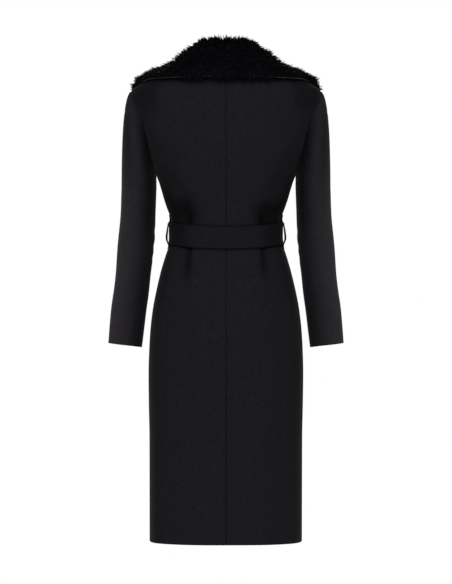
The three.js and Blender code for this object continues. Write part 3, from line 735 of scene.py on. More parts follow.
def back_relief(grid):
    """Waist folds, drag lines and soft hollows of the back, and the painted shade that darkens its cloth."""
    x, z, side = np.abs(grid[..., 0]), grid[..., 2], np.sign(grid[..., 0].mean())
    relief, dark = folds(BACK_FOLDS, x, z, side)
    relief += 0.8 * np.sin(x / 21 + side) * bell(z, -440, 90)
    for raised, out, wide, level, high in zip(*BACK_SWELLS.values()):
        relief += raised * bell(x, out, wide) * bell(z, level, high)
    relief += 1.5 * smooth(-560, -900, z) * np.sin(x / 29 + 0.6 * side + z / 900)
    # Painted shade on the upper back towards the armholes and towards the sides, and a painted shadow just
    # under the collar
    dark += 0.45 * smooth(146, 176, x) * smooth(-160, -100, z) + side_dark(x, z)
    dark += 0.35 * smooth(-72, -58, z)
    return relief, dark


def front_relief(grid):
    """Soft folds of the fronts, similar to those behind, with painted shade in them and towards the sides."""
    x, z, side = np.abs(grid[..., 0]), grid[..., 2], np.sign(grid[..., 0].mean())
    relief, dark = folds(FRONT_FOLDS, x, z, side)
    relief += 1.0 * np.sin(grid[..., 0] / 23 + 1.1) * bell(z, -470, 70)
    relief += 1.4 * smooth(-560, -900, z) * np.sin(grid[..., 0] / 27 + 2 + z / 800)
    return relief, dark + side_dark(x, z)


def off_belt(grid):
    """How far each point of the body lies above or below the belt's edges."""
    behind = grid[..., 1] > 0
    cosine = np.clip(grid[..., 1] / depth_at(grid[..., 2], behind), -1, 1)
    sag = np.where(behind, BELT_SAG, BELT_FRONT_SAG) * cosine ** 2
    return np.abs(grid[..., 2] - (BELT_MIDDLE - sag)) - BELT_HIGH / 2


def clear_of_belt(relief, dark, grid):
    """Under the belt the cloth is pressed flat, and close above and below it painted shade darkens the cloth.
    """
    off = off_belt(grid)
    dark = dark + 0.6 * bell(off, 0, 4)
    return np.where(relief > 0, relief * smooth(-2, 14, off), relief), dark


def back_panel(count):
    return torso_grid(lambda z: 0.0, lambda z: armhole_angle(z, True), body_point, count)


def front_panel(under, count):
    def shape(angles, z):
        points = body_point(angles, z)
        if under:
            below = smooth(BREAK + 50, BREAK, z)
            points[:, 1] += (CLOTH + LAP_GAP) * below * smooth(130, 92, points[:, 0])
        return points

    def edge(z):
        return float(angle_out(read(FRONT_EDGE, "out", z), z, False)) + 0.4 / depth_at(z, False)

    return torso_grid(lambda z: armhole_angle(z, False), edge, shape, count)


def turned_out(grid, fields, inside):
    """The grid and its fields with the columns turned, if need be, so that the grid faces out."""
    outward = (grid_normals(grid) * (grid - inside) * [1, 1, 0]).sum(axis=-1).mean()
    if outward > 0:
        return grid, fields
    return grid[:, ::-1], [field[:, ::-1] for field in fields]


def add_body():
    sewn = []
    back = back_panel(34)
    middle, side, hem, _ = from_edges(back)
    side = side - SEAM_TUCK * tucked(back[..., 2])
    for name, sign in (("back_left", 1), ("back_right", -1)):
        relief, dark = clear_of_belt(*back_relief(back * [sign, 1, 1]), back)
        relief, dark = relief + seam(middle) + seam(side), dark + seam_dark(middle) + seam_dark(side)
        if sign < 0:
            relief = relief + topstitch(middle, TOPSTITCH)
        fields = [relief, dark, hem, middle]
        grid, fields = turned_out(back * [sign, 1, 1], fields, np.zeros(3))
        relief, dark, free, across = fields
        piece, face, normals = wall(name + "_cloth", grid, CLOTH, WOOL, relief, dark, free)
        declare_sheet(dress(piece, "wool", name), "back")
        if sign < 0:
            sewn.append(line_across(face, normals, across, TOPSTITCH))
    for name, sign, under in (("front_left", 1, True), ("front_right", -1, False)):
        front = front_panel(under, 36)
        side, edge, hem, _ = from_edges(front)
        side = side - SEAM_TUCK * tucked(front[..., 2])
        relief, dark = clear_of_belt(*front_relief(front * [sign, 1, 1]), front)
        fields = [relief + seam(side), dark + seam_dark(side), np.minimum(hem, edge)]
        grid, (relief, dark, free) = turned_out(front * [sign, 1, 1], fields, np.zeros(3))
        piece, _, _ = wall(name + "_cloth", grid, CLOTH, WOOL, relief, dark, free)
        declare_sheet(dress(piece, "wool", name), "front")
    return sewn


# Sleeves

def armhole_point(angle):
    z = mix(ARMPIT, SHOULDER_END, (1 + np.cos(angle)) / 2)
    behind = np.sin(angle) >= 0
    out = np.where(behind, read(ARMHOLE, "behind", z), read(ARMHOLE, "ahead", z))
    inside = np.maximum(1 - np.minimum(out / half_at(z), 1) ** BODY_POWER, 0)
    height = depth_at(z, behind) * inside ** (1 / BODY_POWER)
    return np.stack([out, np.where(behind, height, -height), z], axis=-1)


def sleeve_ring(angle, z):
    outer, inner = read(SLEEVE, "outer", z), read(SLEEVE, "inner", z)
    x = (outer + inner) / 2 + (outer - inner) / 2 * signed_power(np.cos(angle), 2 / SLEEVE_POWER)
    round_y = signed_power(np.sin(angle), 2 / SLEEVE_POWER)
    y = read(SLEEVE, "middle", z) + read(SLEEVE, "deep", z) * round_y
    return np.stack([x, y, z + CUFF_TILT * np.cos(angle) * smooth(-560, CUFF, z)], axis=-1)


def sleeve_cap(angle, share):
    start, end = armhole_point(angle), sleeve_ring(angle, np.full_like(angle, CAP_END))
    drop = start[..., 2] - end[..., 2]
    top = (1 + np.cos(angle)) / 2
    leave = np.stack([
        CAP_PUFF * top ** 2 + CAP_SIDE * np.sin(angle) ** 2,
        CAP_THROUGH * np.sin(angle),
        -drop * mix(1, CAP_SLOPE, top),
    ], axis=-1)
    arrive = np.stack([0 * drop, 0 * drop, -drop], axis=-1)
    return between(start, leave, end, arrive, share[..., None])


def sleeve_point(angle, down):
    angle, down = np.broadcast_arrays(np.asarray(angle, float), np.asarray(down, float))
    arm = sleeve_ring(angle, mix(CAP_END, CUFF, np.clip(down - 1, 0, 1)))
    cap = sleeve_cap(angle, np.clip(down, 0, 1))
    cap[..., 0] -= SLEEVE_TUCK * np.exp(-np.clip(down, 0, 1) / TUCK_SHARE)
    return np.where((down > 1)[..., None], arm, cap)


def sleeve_level(down):
    return np.where(down < 1, mix(SHOULDER_END, CAP_END, down), mix(CAP_END, CUFF, down - 1))


def sleeve_relief(grid, angle):
    """Creases inside the elbow, a hollow under the cap, and painted shade on the sleeve's inner side and in
    patches.
    """
    x, z = np.abs(grid[..., 0]), grid[..., 2]
    inside = np.clip(np.cos(angle - np.radians(230)), 0, 1)
    relief = np.zeros_like(x)
    for deep, level, sine, cosine, high in zip(*SLEEVE_CREASES.values()):
        relief -= deep * bell(z, level + sine * np.sin(angle) + cosine * np.cos(angle), high) * inside
    relief += 1.1 * np.sin(z / 26 + 2 * np.sin(angle)) * bell(z, -455, 120)
    relief -= 1.8 * bell(z, -236, 36) * np.clip(np.cos(angle - np.radians(112)), 0, 1) ** 2
    outer = read(SLEEVE, "outer", z)
    inner = np.where(z > ARMPIT, read(ARMHOLE, "behind", z), read(SLEEVE, "inner", z))
    share = (x - inner) / np.maximum(outer - inner, 8)
    dark = 0.85 * smooth(0.50, 0.0, share) * smooth(-110, -190, z) * smooth(-470, -370, z)
    dark += 0.35 * smooth(0.30, 0.0, share) * smooth(-380, -460, z)
    return relief, dark + patches(SLEEVE_PATCHES, share, z)


def sleeve_grid(start, end, count):
    downs = np.concatenate([
        [0, 0.002, 0.008, 0.018], np.linspace(0.03, 1, 34), np.linspace(1, 2, 62)[1:-1],
        2 - EDGE_STEPS[:4][::-1] / (CAP_END - CUFF),
    ])
    grid, angles = [], []
    for down in downs:
        z = sleeve_level(down)
        turn = np.linspace(np.radians(start(z)), np.radians(end(z)), FINE)
        row = sleeve_point(turn, down)
        along = lengths_along(row)
        places = HALF_SEAM + spread(along[-1] - 2 * HALF_SEAM, EDGE_STEPS, EDGE_STEPS, count)
        turned = np.interp(places, along, turn)
        grid.append(sleeve_point(turned, down))
        angles.append(turned)
    return np.array(grid), np.array(angles)


def behind_seam(z):
    return read(SLEEVE_SEAMS, "behind", z)


def ahead_seam(z):
    return read(SLEEVE_SEAMS, "ahead", z)


def ahead_seam_round(z):
    return ahead_seam(z) + 360


def add_sleeves():
    sewn = []
    kinds = (
        ("sleeve_upper", ahead_seam, behind_seam, 34),
        ("sleeve_under", behind_seam, ahead_seam_round, 12),
    )
    for kind, start, end, count in kinds:
        plain, angles = sleeve_grid(start, end, count)
        first, last, top, cuff = from_edges(plain)
        shaped, dark = sleeve_relief(plain, angles)
        shaped = shaped + seam(first) + seam(last) + seam(top)
        dark = dark + seam_dark(first) + seam_dark(last) + seam_dark(top)
        if kind == "sleeve_upper":
            shaped = shaped + topstitch(last, SLEEVE_TOPSTITCH)
        for side, sign in (("left", 1), ("right", -1)):
            fields = [shaped, dark, cuff, last]
            grid, fields = turned_out(plain * [sign, 1, 1], fields, ARM_MIDDLE * [sign, 1, 1])
            # The darkness unpacked here is painted shade
            relief, nap_and_shade, free, across = fields
            name = f"{kind}_{side}"
            piece, face, normals = wall(name + "_cloth", grid, CLOTH, WOOL, relief, nap_and_shade, free)
            declare_sheet(dress(piece, "wool", name), kind)
            if kind == "sleeve_upper":
                sewn.append(line_across(face, normals, across, SLEEVE_TOPSTITCH))
    return sewn


# Belt

BELT_STEPS = np.array([0, 0.35, 1.2, 2.6, 4.2, 5.0, 5.8, 7.2])


def belt_sag(angle):
    cosine = np.cos(angle)
    return np.where(cosine > 0, BELT_SAG, BELT_FRONT_SAG) * cosine ** 2


def add_belt():
    angles = np.linspace(0, 2 * np.pi, BELT_SIDES, endpoint=False)
    half = BELT_HIGH / 2
    ups = np.concatenate([-half + BELT_STEPS, np.linspace(-17, 17, 8), half - BELT_STEPS[::-1]])
    rows = []
    for up in ups:
        z = BELT_MIDDLE - belt_sag(angles) + up
        rows.append(lift(body_point(angles, z), BELT_CLEAR + BELT_THICK))
    grid = np.array(rows)
    up = np.broadcast_to(ups[:, None], grid.shape[:2])
    relief = topstitch(half - np.abs(up), BELT_TOPSTITCH)
    relief = relief + 0.4 * np.sin(angles * 9 + up / 14) * smooth(half, half - 12, np.abs(up)) - 0.5
    relief = relief + BELT_PROUD * smooth(122, 134, np.abs(grid[..., 0]))
    if (grid_normals(grid, True) * (grid * [1, 1, 0])).sum(axis=-1).mean() < 0:
        grid, relief, angles = grid[:, ::-1], relief[:, ::-1], angles[::-1]
    free = half - np.abs(up)
    # Painted shade at the belt's edges and towards its sides, over an even darkening of the whole belt
    sides = smooth(70, 120, np.abs(grid[..., 0]))
    dark = BELT_DARK + BELT_EDGE_DARK * bell(free, 0, 1.6) + BELT_SIDE_DARK * sides
    piece, face, normals = wall("belt_cloth", grid, BELT_THICK - 0.4, WOOL, relief, dark, free, closed=True)
    declare_sheet(dress(piece, "wool", "belt"), "belt")
    rows = [int(np.abs(ups - place).argmin()) for place in (BELT_TOPSTITCH - half, half - BELT_TOPSTITCH)]
    return [(face[i], normals[i]) for i in rows]


def loop_piece(name, sign):
    z = np.linspace(LOOP_TOP, LOOP_LOW, LOOP_ROWS)
    out = read(LOOP, "out", z)
    half = LOOP_WIDE / 2
    across = np.array([-half, -half + 0.4, -half + 1.1, -1.5, 1.5, half - 1.1, half - 0.4, half])
    grid = np.stack(np.broadcast_arrays(sign * out[:, None], across[None], z[:, None]), axis=-1)
    if (grid_normals(grid)[..., 0] * sign).mean() < 0:
        grid = grid[:, ::-1]
    first, last, _, _ = from_edges(grid)
    sink = edge_sink(np.minimum(first, last) + 0.5)
    inward = np.array([-sign, 0, 0])
    thick = read(LOOP, "thick", grid[..., 2])
    outer = grid + inward * sink[..., None]
    inner = grid + inward * (thick - sink)[..., None]
    piece = make_object(name + "_cloth", wall_points(outer, inner), wall_faces(*grid.shape[:2]), WOOL)
    # Painted shade darkens the loop evenly
    paint_shade(piece, np.full(grid.shape[:2], LOOP_DARK))
    declare_sheet(dress(piece, "wool", name), "belt_loop")


# Collar

def front_edge_point(z, aside):
    return body_point(angle_out(read(FRONT_EDGE, "out", z) + aside, z, False), z)


def collar_rows():
    clear = LAYER_GAP + COLLAR_CLOTH + NECK_CLEAR
    neck, roll, edge = [], [], []
    for i, turn in enumerate(COLLAR_BEHIND["turn"]):
        angle = np.radians(turn)
        start = body_point(angle, float(neck_level(angle)))
        out = unit(start * [1, 1, 0])
        start = start - out * COLLAR_CLOTH + [0, 0, NECK_GAP]
        neck.append(start)
        roll.append(start + out * COLLAR_BEHIND["lean"][i] + [0, 0, COLLAR_BEHIND["stand"][i]])
        edge.append([COLLAR_BEHIND[k][i] for k in ("edge_x", "edge_y", "edge_z")])
    for i, level in enumerate(COLLAR_AHEAD["level"]):
        neck.append(lift(front_edge_point(level, NECK_ASIDE), clear) + [0, 0, NECK_GAP])
        stand = lift(front_edge_point(level, ROLL_ASIDE), clear + COLLAR_AHEAD["stand"][i])
        roll.append(stand + [0, 0, COLLAR_AHEAD["rise"][i]])
        edge.append([COLLAR_AHEAD[k][i] for k in ("edge_x", "edge_y", "edge_z")])
    return np.array(neck), np.array(roll), np.array(edge)


def collar_size(name, places):
    values = np.concatenate([COLLAR_BEHIND[name], COLLAR_AHEAD[name]])
    return curve_at(np.arange(len(values), dtype=float), values, places)


def along_collar(name, count):
    """A size of the collar at each of its sections, from the end of one lapel to that of the other."""
    last = len(COLLAR_BEHIND["turn"]) + len(COLLAR_AHEAD["level"]) - 1
    return collar_size(name, np.abs(np.linspace(-last, last, count)))


def along_rows(rows, places):
    keys = np.arange(len(rows), dtype=float)
    return np.stack([curve_at(keys, rows[:, axis], places) for axis in range(3)], axis=-1)


def curve_through(points, count):
    """Evenly spaced points on a smooth curve through the columns of a (row, point, axis) array."""
    gaps = np.linalg.norm(np.diff(points, axis=1), axis=-1) ** 0.5
    keys = np.concatenate([np.zeros((len(points), 1)), np.cumsum(gaps, axis=1)], axis=1)
    rows = []
    for row, key in zip(points, keys):
        fine = np.linspace(0, key[-1], 220)
        curve = np.stack([curve_at(key, row[:, axis], fine) for axis in range(3)], axis=-1)
        along = lengths_along(curve)
        rows.append(points_at(np.linspace(0, along[-1], count), along, curve))
    return np.array(rows)


def collar_half(stations, count):
    """Upper face of the left half of the collar, from the middle of the back to the lapel's end."""
    rows = collar_rows()
    places = np.linspace(0, len(rows[0]) - 1, stations)
    neck, roll, edge = (along_rows(r, places) for r in rows)
    puff = collar_size("puff", places)[:, None]
    over, rise = unit(edge - roll), roll - neck
    turn = np.minimum(ROLL_TURN, np.linalg.norm(rise, axis=-1, keepdims=True) * 0.45)
    rise = unit(rise)
    outward = unit(over - rise * (over * rise).sum(axis=-1, keepdims=True))
    before = roll - rise * turn
    after = roll + outward * 1.3 * turn - rise * 0.7 * turn
    top = roll + rise * 0.5 + outward * 0.45 * turn
    clear = LAYER_GAP + COLLAR_CLOTH + FALL_CLEAR
    fall = [mix(after, edge, s) + rise * puff * math.sin(math.pi * s) for s in (0.25, 0.5, 0.75, 1)]
    fall = [lift(points, clear) for points in fall]
    section = curve_through(np.stack([neck, before, top, after, *fall], axis=1), count)
    behind = places < len(COLLAR_BEHIND["turn"])
    stand = np.arange(count) < count * STAND_SHARE
    fixed = behind[:, None] & stand[None]
    return np.where(fixed[..., None], section, lift(section, clear - 0.8))


def collar_grid(stations, count):
    left = collar_half(stations, count)
    right = (left[1:] * [-1, 1, 1])[::-1]
    return np.concatenate([right, left])


def collar_normals(grid):
    along = unit(np.gradient(grid, axis=0))
    across = np.gradient(grid, axis=1)
    normals = unit(np.cross(along, across))
    fall = normals[len(grid) // 2, -3]
    return normals if fall[1] > 0 else -normals


def collar_faces(grid, normals):
    """Faces of a wall on the collar's grid, turned so that they face the way of its normals."""
    faces = wall_faces(*grid.shape[:2])
    outward = (np.cross(np.gradient(grid, axis=1), np.gradient(grid, axis=0)) * normals).sum()
    return faces[:, ::-1] if outward < 0 else faces


def add_under_collar():
    grid = collar_grid(90, 40)
    normals = collar_normals(grid)
    points = wall_points(grid, grid - normals * COLLAR_CLOTH)
    piece = make_object("under_collar_cloth", points, collar_faces(grid, normals), WOOL)
    # Painted shade on the under collar towards its outer edge, beneath the fur
    paint_shade(piece, np.broadcast_to(0.6 * smooth(0.75, 1, np.linspace(0, 1, grid.shape[1])), grid.shape[:2]))
    return piece


# How deep the fur's body is across the collar, as a share of its full depth
FUR_SHARE = table("share deep", [(0, 0.3), (0.12, 0.65), (0.25, 0.85), (0.4, 0.8), (0.8, 0.75), (1, 0.6)])


def fur_depth(share, deep, rim):
    """Depth of the fur's body at each section, across it from the neck seam to the edge."""
    plain = np.interp(share, FUR_SHARE["share"], FUR_SHARE["deep"])
    beside = smooth(0.8, 1, share)[None]
    return FUR_BODY * mix(deep[:, None] * plain[None], rim[:, None] * 0.9, beside)


def beside_nape(points):
    """The fur stands fuller on both sides of the nape, where the collar starts to slope."""
    return bell(np.abs(points[..., 0]), 98, 20) * (points[..., 1] > 0)


def add_fur_skin(grid, normals):
    """The lumpy body of the fur under its tufts."""
    rng = np.random.default_rng(FUR_SEED)
    share = np.linspace(0, 1, grid.shape[1])
    rows = np.arange(len(grid))
    ends = np.minimum(rows, rows[::-1]) / END_ROWS
    taper = np.clip(ends, END_LEAST, 1) ** END_POWER
    lumps = rng.normal(0, 1, grid.shape[:2])
    for _ in range(3):
        lumps = (lumps + np.roll(lumps, 1, 0) + np.roll(lumps, -1, 0) + np.roll(lumps, 1, 1)
                 + np.roll(lumps, -1, 1)) / 2.9
    sizes = along_collar("fur", len(grid)), along_collar("rim", len(grid))
    body = fur_depth(share, *sizes) * taper[:, None]
    depth = body + LUMP_DEEP * lumps * (share > 0.03) * (share < 0.97)
    depth = depth + NAPE_FULLER * beside_nape(grid) * bell(share, 0.33, 0.16)[None]
    inner = grid + normals * FUR_GAP
    outer = inner + normals * np.maximum(depth, 1)[..., None]
    skin = make_object("fur_collar_body", wall_points(outer, inner), collar_faces(grid, normals), FUR_SKIN)
    return skin, outer, taper


# The fur's body: its lumps, how much fuller it is beside the nape, and how it thins at its ends
FUR_SEED = 11
LUMP_DEEP = 0.6
NAPE_FULLER = 4
END_ROWS = 14
END_LEAST = 0.25
END_POWER = 0.7
# The tufts
TUFT_SEED = 23
TUFT_FLAT = 0.6
TUFT_HELPER = np.array([0.31, 0.17, 0.93])
LOCKS = 4096
LOCK_SIZE = 5.0
LOCK_SHIFT = 400
LOCK_KEYS = np.array([1, 97, 389])
TUFT_PIECES = 4
TUFTS_EACH = 7000
TUFT_LONG = 11
TUFT_LONGEST = 19
TUFT_WIDTHS = (0.95, 2.4)
ROOT_DEEP = 1.5
# How long the tufts are across the collar, from the neck seam to the edge
FUR_LENGTHS = table("share long", [(0, 0.45), (0.12, 0.6), (0.2, 0.62), (0.36, 0.95), (1, 0.95)])
TUFT_RINGS = np.array([0, 0.35, 0.7, 1.0])
TUFT_GIRTH = np.array([1.0, 0.9, 0.55, 0.06])


def tufts(name, roots, ways, bends, lengths, widths, spin):
    """Closed three-sided tapered tufts, joined in one mesh."""
    count = len(roots)
    share = TUFT_RINGS[None, :, None]
    spine = roots[:, None] + lengths[:, None, None] * (ways[:, None] * share + bends[:, None] * share ** 2)
    forward = unit(np.gradient(spine, axis=1))
    helper = np.broadcast_to(TUFT_HELPER, forward.shape)
    side = unit(np.cross(forward, helper))
    other = np.cross(forward, side)
    turns = spin[:, None, None] + np.arange(3)[None, None] * 2 * np.pi / 3
    girth = (widths[:, None] * TUFT_GIRTH[None])[..., None]
    ring = (
        np.cos(turns)[..., None] * side[:, :, None]
        + TUFT_FLAT * np.sin(turns)[..., None] * other[:, :, None]
    ) * girth[..., None]
    points = (spine[:, :, None] + ring).reshape(count, -1, 3)
    levels = len(TUFT_RINGS)
    quads = []
    for i in range(levels - 1):
        for j in range(3):
            k = (j + 1) % 3
            a, b, c, d = i * 3 + j, i * 3 + k, (i + 1) * 3 + k, (i + 1) * 3 + j
            quads += [(a, b, c), (a, c, d)]
    quads += [(2, 1, 0), (levels * 3 - 3, levels * 3 - 2, levels * 3 - 1)]
    faces = (np.array(quads)[None] + np.arange(count)[:, None, None] * levels * 3).reshape(-1, 3)
    return make_object(name, points.reshape(-1, 3), faces, FUR)


def add_fur(grid, normals, surface, taper):
    """Tufts all over the fur's body, combed from the roll towards the edge."""
    rng = np.random.default_rng(TUFT_SEED)
    sides = np.diff(surface, axis=0)[:, :-1], np.diff(surface, axis=1)[:-1]
    cells = np.linalg.norm(np.cross(*sides), axis=-1)
    weights = (cells / cells.sum()).ravel()
    down = unit(np.gradient(surface, axis=1))
    lock_ways = rng.normal(0, 0.26, (LOCKS, 3))
    lock_lengths = rng.uniform(0.75, 1.4, LOCKS)
    deep, rim = (along_collar(name, len(grid)) / FUR_DEEP for name in ("fur", "rim"))
    pieces = []
    for lot in range(TUFT_PIECES):
        pick = rng.choice(len(weights), TUFTS_EACH, p=weights)
        i, j = np.unravel_index(pick, cells.shape)
        u, v = rng.random(TUFTS_EACH), rng.random(TUFTS_EACH)

        def sample(field):
            low = mix(field[i, j], field[i + 1, j], u[:, None])
            high = mix(field[i, j + 1], field[i + 1, j + 1], u[:, None])
            return mix(low, high, v[:, None])

        root, normal, comb = sample(surface), unit(sample(normals)), unit(sample(down))
        share = (j + v) / (grid.shape[1] - 1)
        size = np.clip(taper[i], 0.45, 1) * np.maximum(deep[i], 0.8 * rim[i] * smooth(0.75, 1, share))
        aside = smooth(150, 192, np.abs(root[:, 0])) * smooth(-120, -90, root[:, 2])
        lock = np.floor((root + LOCK_SHIFT) / LOCK_SIZE).astype(int) @ LOCK_KEYS % LOCKS
        jitter = rng.normal(0, 0.13, (TUFTS_EACH, 3)) + lock_ways[lock]
        behind = smooth(116, 92, np.abs(root[:, 0])) * (root[:, 1] > 40) * smooth(0.8, 0.97, share)
        behind = behind * (1 - bell(np.abs(root[:, 0]), 42, 7))
        fuller = 0.45 * beside_nape(root) - 0.3 * bell(np.abs(root[:, 0]), 62, 10)
        size = size * (1 + fuller * (share < 0.5))
        lean = (mix(0.25, 0.85, smooth(0.2, 0.6, share)) * (1 - 0.8 * aside) + 0.7 * behind)[:, None]
        ways = unit(normal * 0.9 + comb * lean + jitter)
        bends = comb * 0.28 * lean + rng.normal(0, 0.08, (TUFTS_EACH, 3)) + np.array([0, 0, -0.10])
        lengths = rng.lognormal(math.log(TUFT_LONG), 0.2, TUFTS_EACH) * size * lock_lengths[lock]
        lengths = np.minimum(lengths, TUFT_LONGEST)
        lengths = lengths * np.interp(share, FUR_LENGTHS["share"], FUR_LENGTHS["long"])
        widths = rng.uniform(*TUFT_WIDTHS, TUFTS_EACH) * size
        spin = rng.uniform(0, 2 * np.pi, TUFTS_EACH)
        roots = root - normal * ROOT_DEEP
        pieces.append(tufts(f"fur_tufts_{lot + 1}", roots, ways, bends, lengths, widths, spin))
    return pieces


def add_binding(grid, normals):
    edge, before = grid[:, -1], grid[:, -2]
    keep = (np.abs(edge[:, 0]) < BINDING_REACH) & (edge[:, 1] > BINDING_BEHIND)
    start, way, normal = edge[keep], unit(edge[keep] - before[keep]), normals[keep, -1]
    start = start + way * FUR_GAP
    far = BINDING_SIZE
    corners = [
        (0, -0.2), (0, -far + 0.3), (0.4, -far), (far - 0.5, -far),
        (far, -far + 0.5), (far, -0.5), (far - 0.5, 0), (0.3, 0),
    ]
    rings = np.stack([start + way * a + normal * b for a, b in corners], axis=1)
    return make_object("collar_edge_strip", rings.reshape(-1, 3), ring_faces(*rings.shape[:2]), BINDING)


# Belt knot and its ends

KNOT_GAP = 0.4
KNOT_WIDE, KNOT_HIGH, KNOT_DEEP = 52, 60, 24
KNOT_POWER = 0.7
KNOT_ROWS, KNOT_SIDES = 46, 72
END_DROP = 5.6
END_BOW = 11
END_TUCK = 0.62
END_TILT = 0.12


def knot_girth(up):
    return np.sin(np.arccos(-up)) ** 0.5


def knot_place():
    middle = BELT_MIDDLE - BELT_FRONT_SAG
    up = np.linspace(-0.9, 0.9, 7)
    faces = lift(body_point(np.full(7, np.pi), middle + up * KNOT_HIGH / 2), BELT_CLEAR + BELT_THICK)[:, 1]
    return middle, (faces - KNOT_DEEP / 2 * knot_girth(up)).min() - KNOT_GAP


def add_knot():
    middle, depth = knot_place()
    share = np.linspace(0.012, 0.988, KNOT_ROWS)[:, None]
    angle = np.linspace(0, 2 * np.pi, KNOT_SIDES, endpoint=False)[None]
    up = -np.cos(share * np.pi)
    girth = knot_girth(up)
    pinch = 1 - 0.14 * np.exp(-((up - 0.1) ** 2) * 9)
    x = KNOT_WIDE / 2 * girth * pinch * signed_power(np.cos(angle), KNOT_POWER)
    y = KNOT_DEEP / 2 * girth * signed_power(np.sin(angle), KNOT_POWER)
    crease_and_shade = 1.3 * np.sin(x / 6 + up * 4) * np.exp(-(up ** 2) * 2)
    crease_and_shade -= 2.4 * np.exp(-(((x * 0.5 + up * 14) / 3.2) ** 2))
    y = y * (1 + 0.06 * crease_and_shade)
    grid = np.stack(np.broadcast_arrays(x, depth + y, middle + KNOT_HIGH / 2 * up), axis=-1)
    return make_object("belt_knot_cloth", grid.reshape(-1, 3), ring_faces(*grid.shape[:2]), WOOL)


TACK_LEVEL = -540
TACK_OUT = 68
BELT_ENDS = (("belt_end_left", 40, 20, 430), ("belt_end_right", -34, -21, 395))


def belt_end(name, lean, start, long):
    middle, _ = knot_place()
    top = middle - KNOT_HIGH / 2 - END_DROP
    downs = np.concatenate([np.linspace(0, 1, 90)[:-1], [0.9985, 1]])
    rows = []
    for down in downs:
        width = BELT_HIGH * mix(END_TUCK, 1, smooth(0, 0.25, down))
        rim = EDGE_STEPS[:7] / BELT_HIGH
        side = np.concatenate([rim - 0.5, np.linspace(-0.33, 0.33, 9), 0.5 - rim[::-1]])
        x = start + lean * down + side * width
        z = top - long * down - side * lean * END_TILT
        bow = END_BOW * (1 - smooth(0, 0.3, down))
        rest = body_point(angle_out(x, z, False), z)
        rows.append(lift(rest, LAYER_GAP + END_THICK + 0.5 + bow))
    grid = np.array(rows)
    if grid_normals(grid)[..., 1].mean() > 0:
        grid = grid[:, ::-1]
    first, last, top, low = from_edges(grid)
    relief = topstitch(np.minimum(first, last), BELT_TOPSTITCH) - 0.35
    free = np.minimum(np.minimum(first, last), low)
    piece, _, _ = wall(name + "_cloth", grid, END_THICK, WOOL, relief, 0.0, free)
    declare_sheet(dress(piece, "wool", name), name)


def dart_tacks():
    """The tacks that hold the lower ends of the waist darts."""
    lines = []
    for side in (-1, 1):
        for lean in (-3.5, 3.5):
            z = TACK_LEVEL + np.linspace(0, 3 * STITCH_PITCH, 6)
            out = side * (TACK_OUT + lean * np.linspace(0.2, 1, 6))
            points = body_point(np.array([angle_out(o, level, True) for o, level in zip(out, z)]), z)
            ways = np.broadcast_to(np.array([0, 1.0, 0]), points.shape)
            lines.append((points, ways))
    return lines


def build():
    sewn = add_body() + add_sleeves() + add_belt()
    dress(stitches("topstitching", sewn, THREAD), "wool")
    dress(stitches("dart_tacks", dart_tacks(), BINDING), "binding")
    loop_piece("belt_loop_left", 1)
    loop_piece("belt_loop_right", -1)
    declare_sheet(dress(add_under_collar(), "wool", "under_collar"), "under_collar")
    grid = collar_grid(120, 56)
    normals = collar_normals(grid)
    skin, surface, taper = add_fur_skin(grid, normals)
    declare_sheet(dress(skin, "fur", "fur_collar"), "fur_collar")
    for piece in add_fur(grid, normals, surface, taper):
        dress(piece, "fur")
    dress(add_binding(grid, normals), "binding", "collar_binding")
    dress(add_knot(), "wool", "belt_knot")
    for end in BELT_ENDS:
        belt_end(*end)


# Studio

CAMERA_FAR = 8.0
VIEW_HIGH = 1.4016
VIEW_MIDDLE = -0.5616
SENSOR = 36.0


def add_camera():
    data = bpy.data.cameras.new("camera")
    camera = bpy.data.objects.new("camera", data)
    data.sensor_width = SENSOR
    data.lens = SENSOR * CAMERA_FAR / VIEW_HIGH
    camera.location = (0, CAMERA_FAR, VIEW_MIDDLE)
    camera.rotation_euler = (math.pi / 2, 0, math.pi)
    bpy.context.scene.collection.objects.link(camera)
    bpy.context.scene.camera = camera


def floor_material():
    return grained_material("pale_floor", (2, 2), [(0.3, FLOOR_DARK), (0.7, FLOOR_LIGHT)], 0.9)


def add_floor():
    """A plain pale round floor, well below the hem and below the camera's view."""
    angle = np.linspace(0, 2 * np.pi, FLOOR_SIDES, endpoint=False)
    rim = np.stack([np.cos(angle) * FLOOR_WIDE, np.sin(angle) * FLOOR_WIDE, 0 * angle], axis=-1)
    middle = np.zeros((1, 3))
    points = np.concatenate([rim, middle]) + [0, 0, FLOOR_LEVEL]
    points = np.concatenate([points, points - [0, 0, FLOOR_THICK]])
    i, j = np.arange(FLOOR_SIDES), (np.arange(FLOOR_SIDES) + 1) % FLOOR_SIDES
    below = FLOOR_SIDES + 1
    top = np.stack([i, j, 0 * i + FLOOR_SIDES], axis=-1)
    bottom = np.stack([j + below, i + below, 0 * i + FLOOR_SIDES + below], axis=-1)
    sides = [np.stack([i, i + below, j], axis=-1), np.stack([j, i + below, j + below], axis=-1)]
    floor = make_object("floor", points, np.concatenate([top, bottom, *sides]), floor_material(), False)


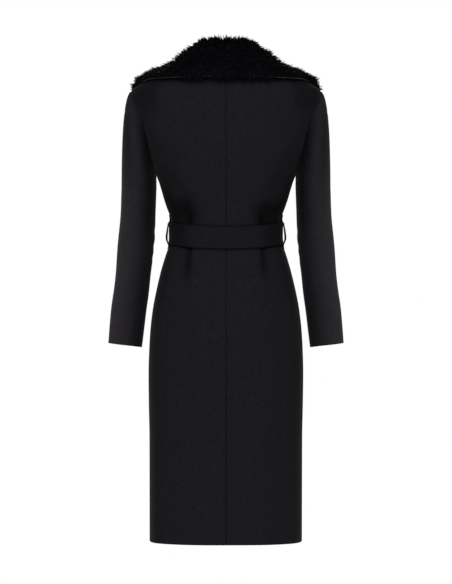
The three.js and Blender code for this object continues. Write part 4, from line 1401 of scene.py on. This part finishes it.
def add_light(name, place, aim, size, power, sleeves):
    """A soft light. One that is named for a side's sleeve lights that sleeve alone."""
    data = bpy.data.lights.new(name, "AREA")
    data.shape = "RECTANGLE"
    data.size, data.size_y = size
    data.energy = power
    lamp = bpy.data.objects.new(name, data)
    lamp.location = place
    way = np.array(aim, float) - np.array(place, float)
    lamp.rotation_euler = (
        math.acos(-way[2] / np.linalg.norm(way)), 0, math.atan2(way[1], way[0]) - math.pi / 2,
    )
    bpy.context.scene.collection.objects.link(lamp)
    for side in sleeves:
        lit = bpy.data.collections.new(name + "_lights")
        for kind in ("sleeve_upper", "sleeve_under"):
            lit.objects.link(bpy.data.objects[f"{kind}_{side}_cloth"])
        lamp.light_linking.receiver_collection = lit


def add_studio():
    """A white cut-out background that lights the coat only softly, and soft lights behind the camera."""
    world = bpy.data.worlds.new("studio")
    bpy.context.scene.world = world
    world.use_nodes = True
    nodes, links = world.node_tree.nodes, world.node_tree.links
    path = nodes.new("ShaderNodeLightPath")
    strength = nodes.new("ShaderNodeMapRange")
    strength.inputs["To Min"].default_value = AMBIENT
    strength.inputs["To Max"].default_value = 1.0
    links.new(path.outputs["Is Camera Ray"], strength.inputs["Value"])
    links.new(strength.outputs["Result"], nodes["Background"].inputs["Strength"])
    nodes["Background"].inputs["Color"].default_value = (1, 1, 1, 1)
    bpy.context.scene.view_settings.view_transform = "Standard"
    for light in LIGHTS:
        add_light(*light)


AMBIENT = 0.22
LIGHTS = (
    ("key", (0.4, 4.7, 2.2), (0, 0, -0.55), (2.2, 2.2), 215, ()),
    ("fill_front", (0, -5.0, 1.6), (0, 0, -0.5), (2.4, 2.4), 150, ()),
    ("low", (0, 4.2, -1.2), (0, 0, -0.8), (1.8, 0.4), 22, ()),
    ("side_left", (0.9, 0.32, -0.64), (0.26, 0, -0.6), (0.3, 0.5), 6.5, ("left",)),
    ("side_right", (-0.9, 0.32, -0.64), (-0.26, 0, -0.6), (0.3, 0.5), 6.5, ("right",)),
)
FLOOR_LEVEL = -1470
FLOOR_WIDE = 2100
FLOOR_THICK = 20
FLOOR_SIDES = 96


build()
add_camera()
add_studio()
add_floor()
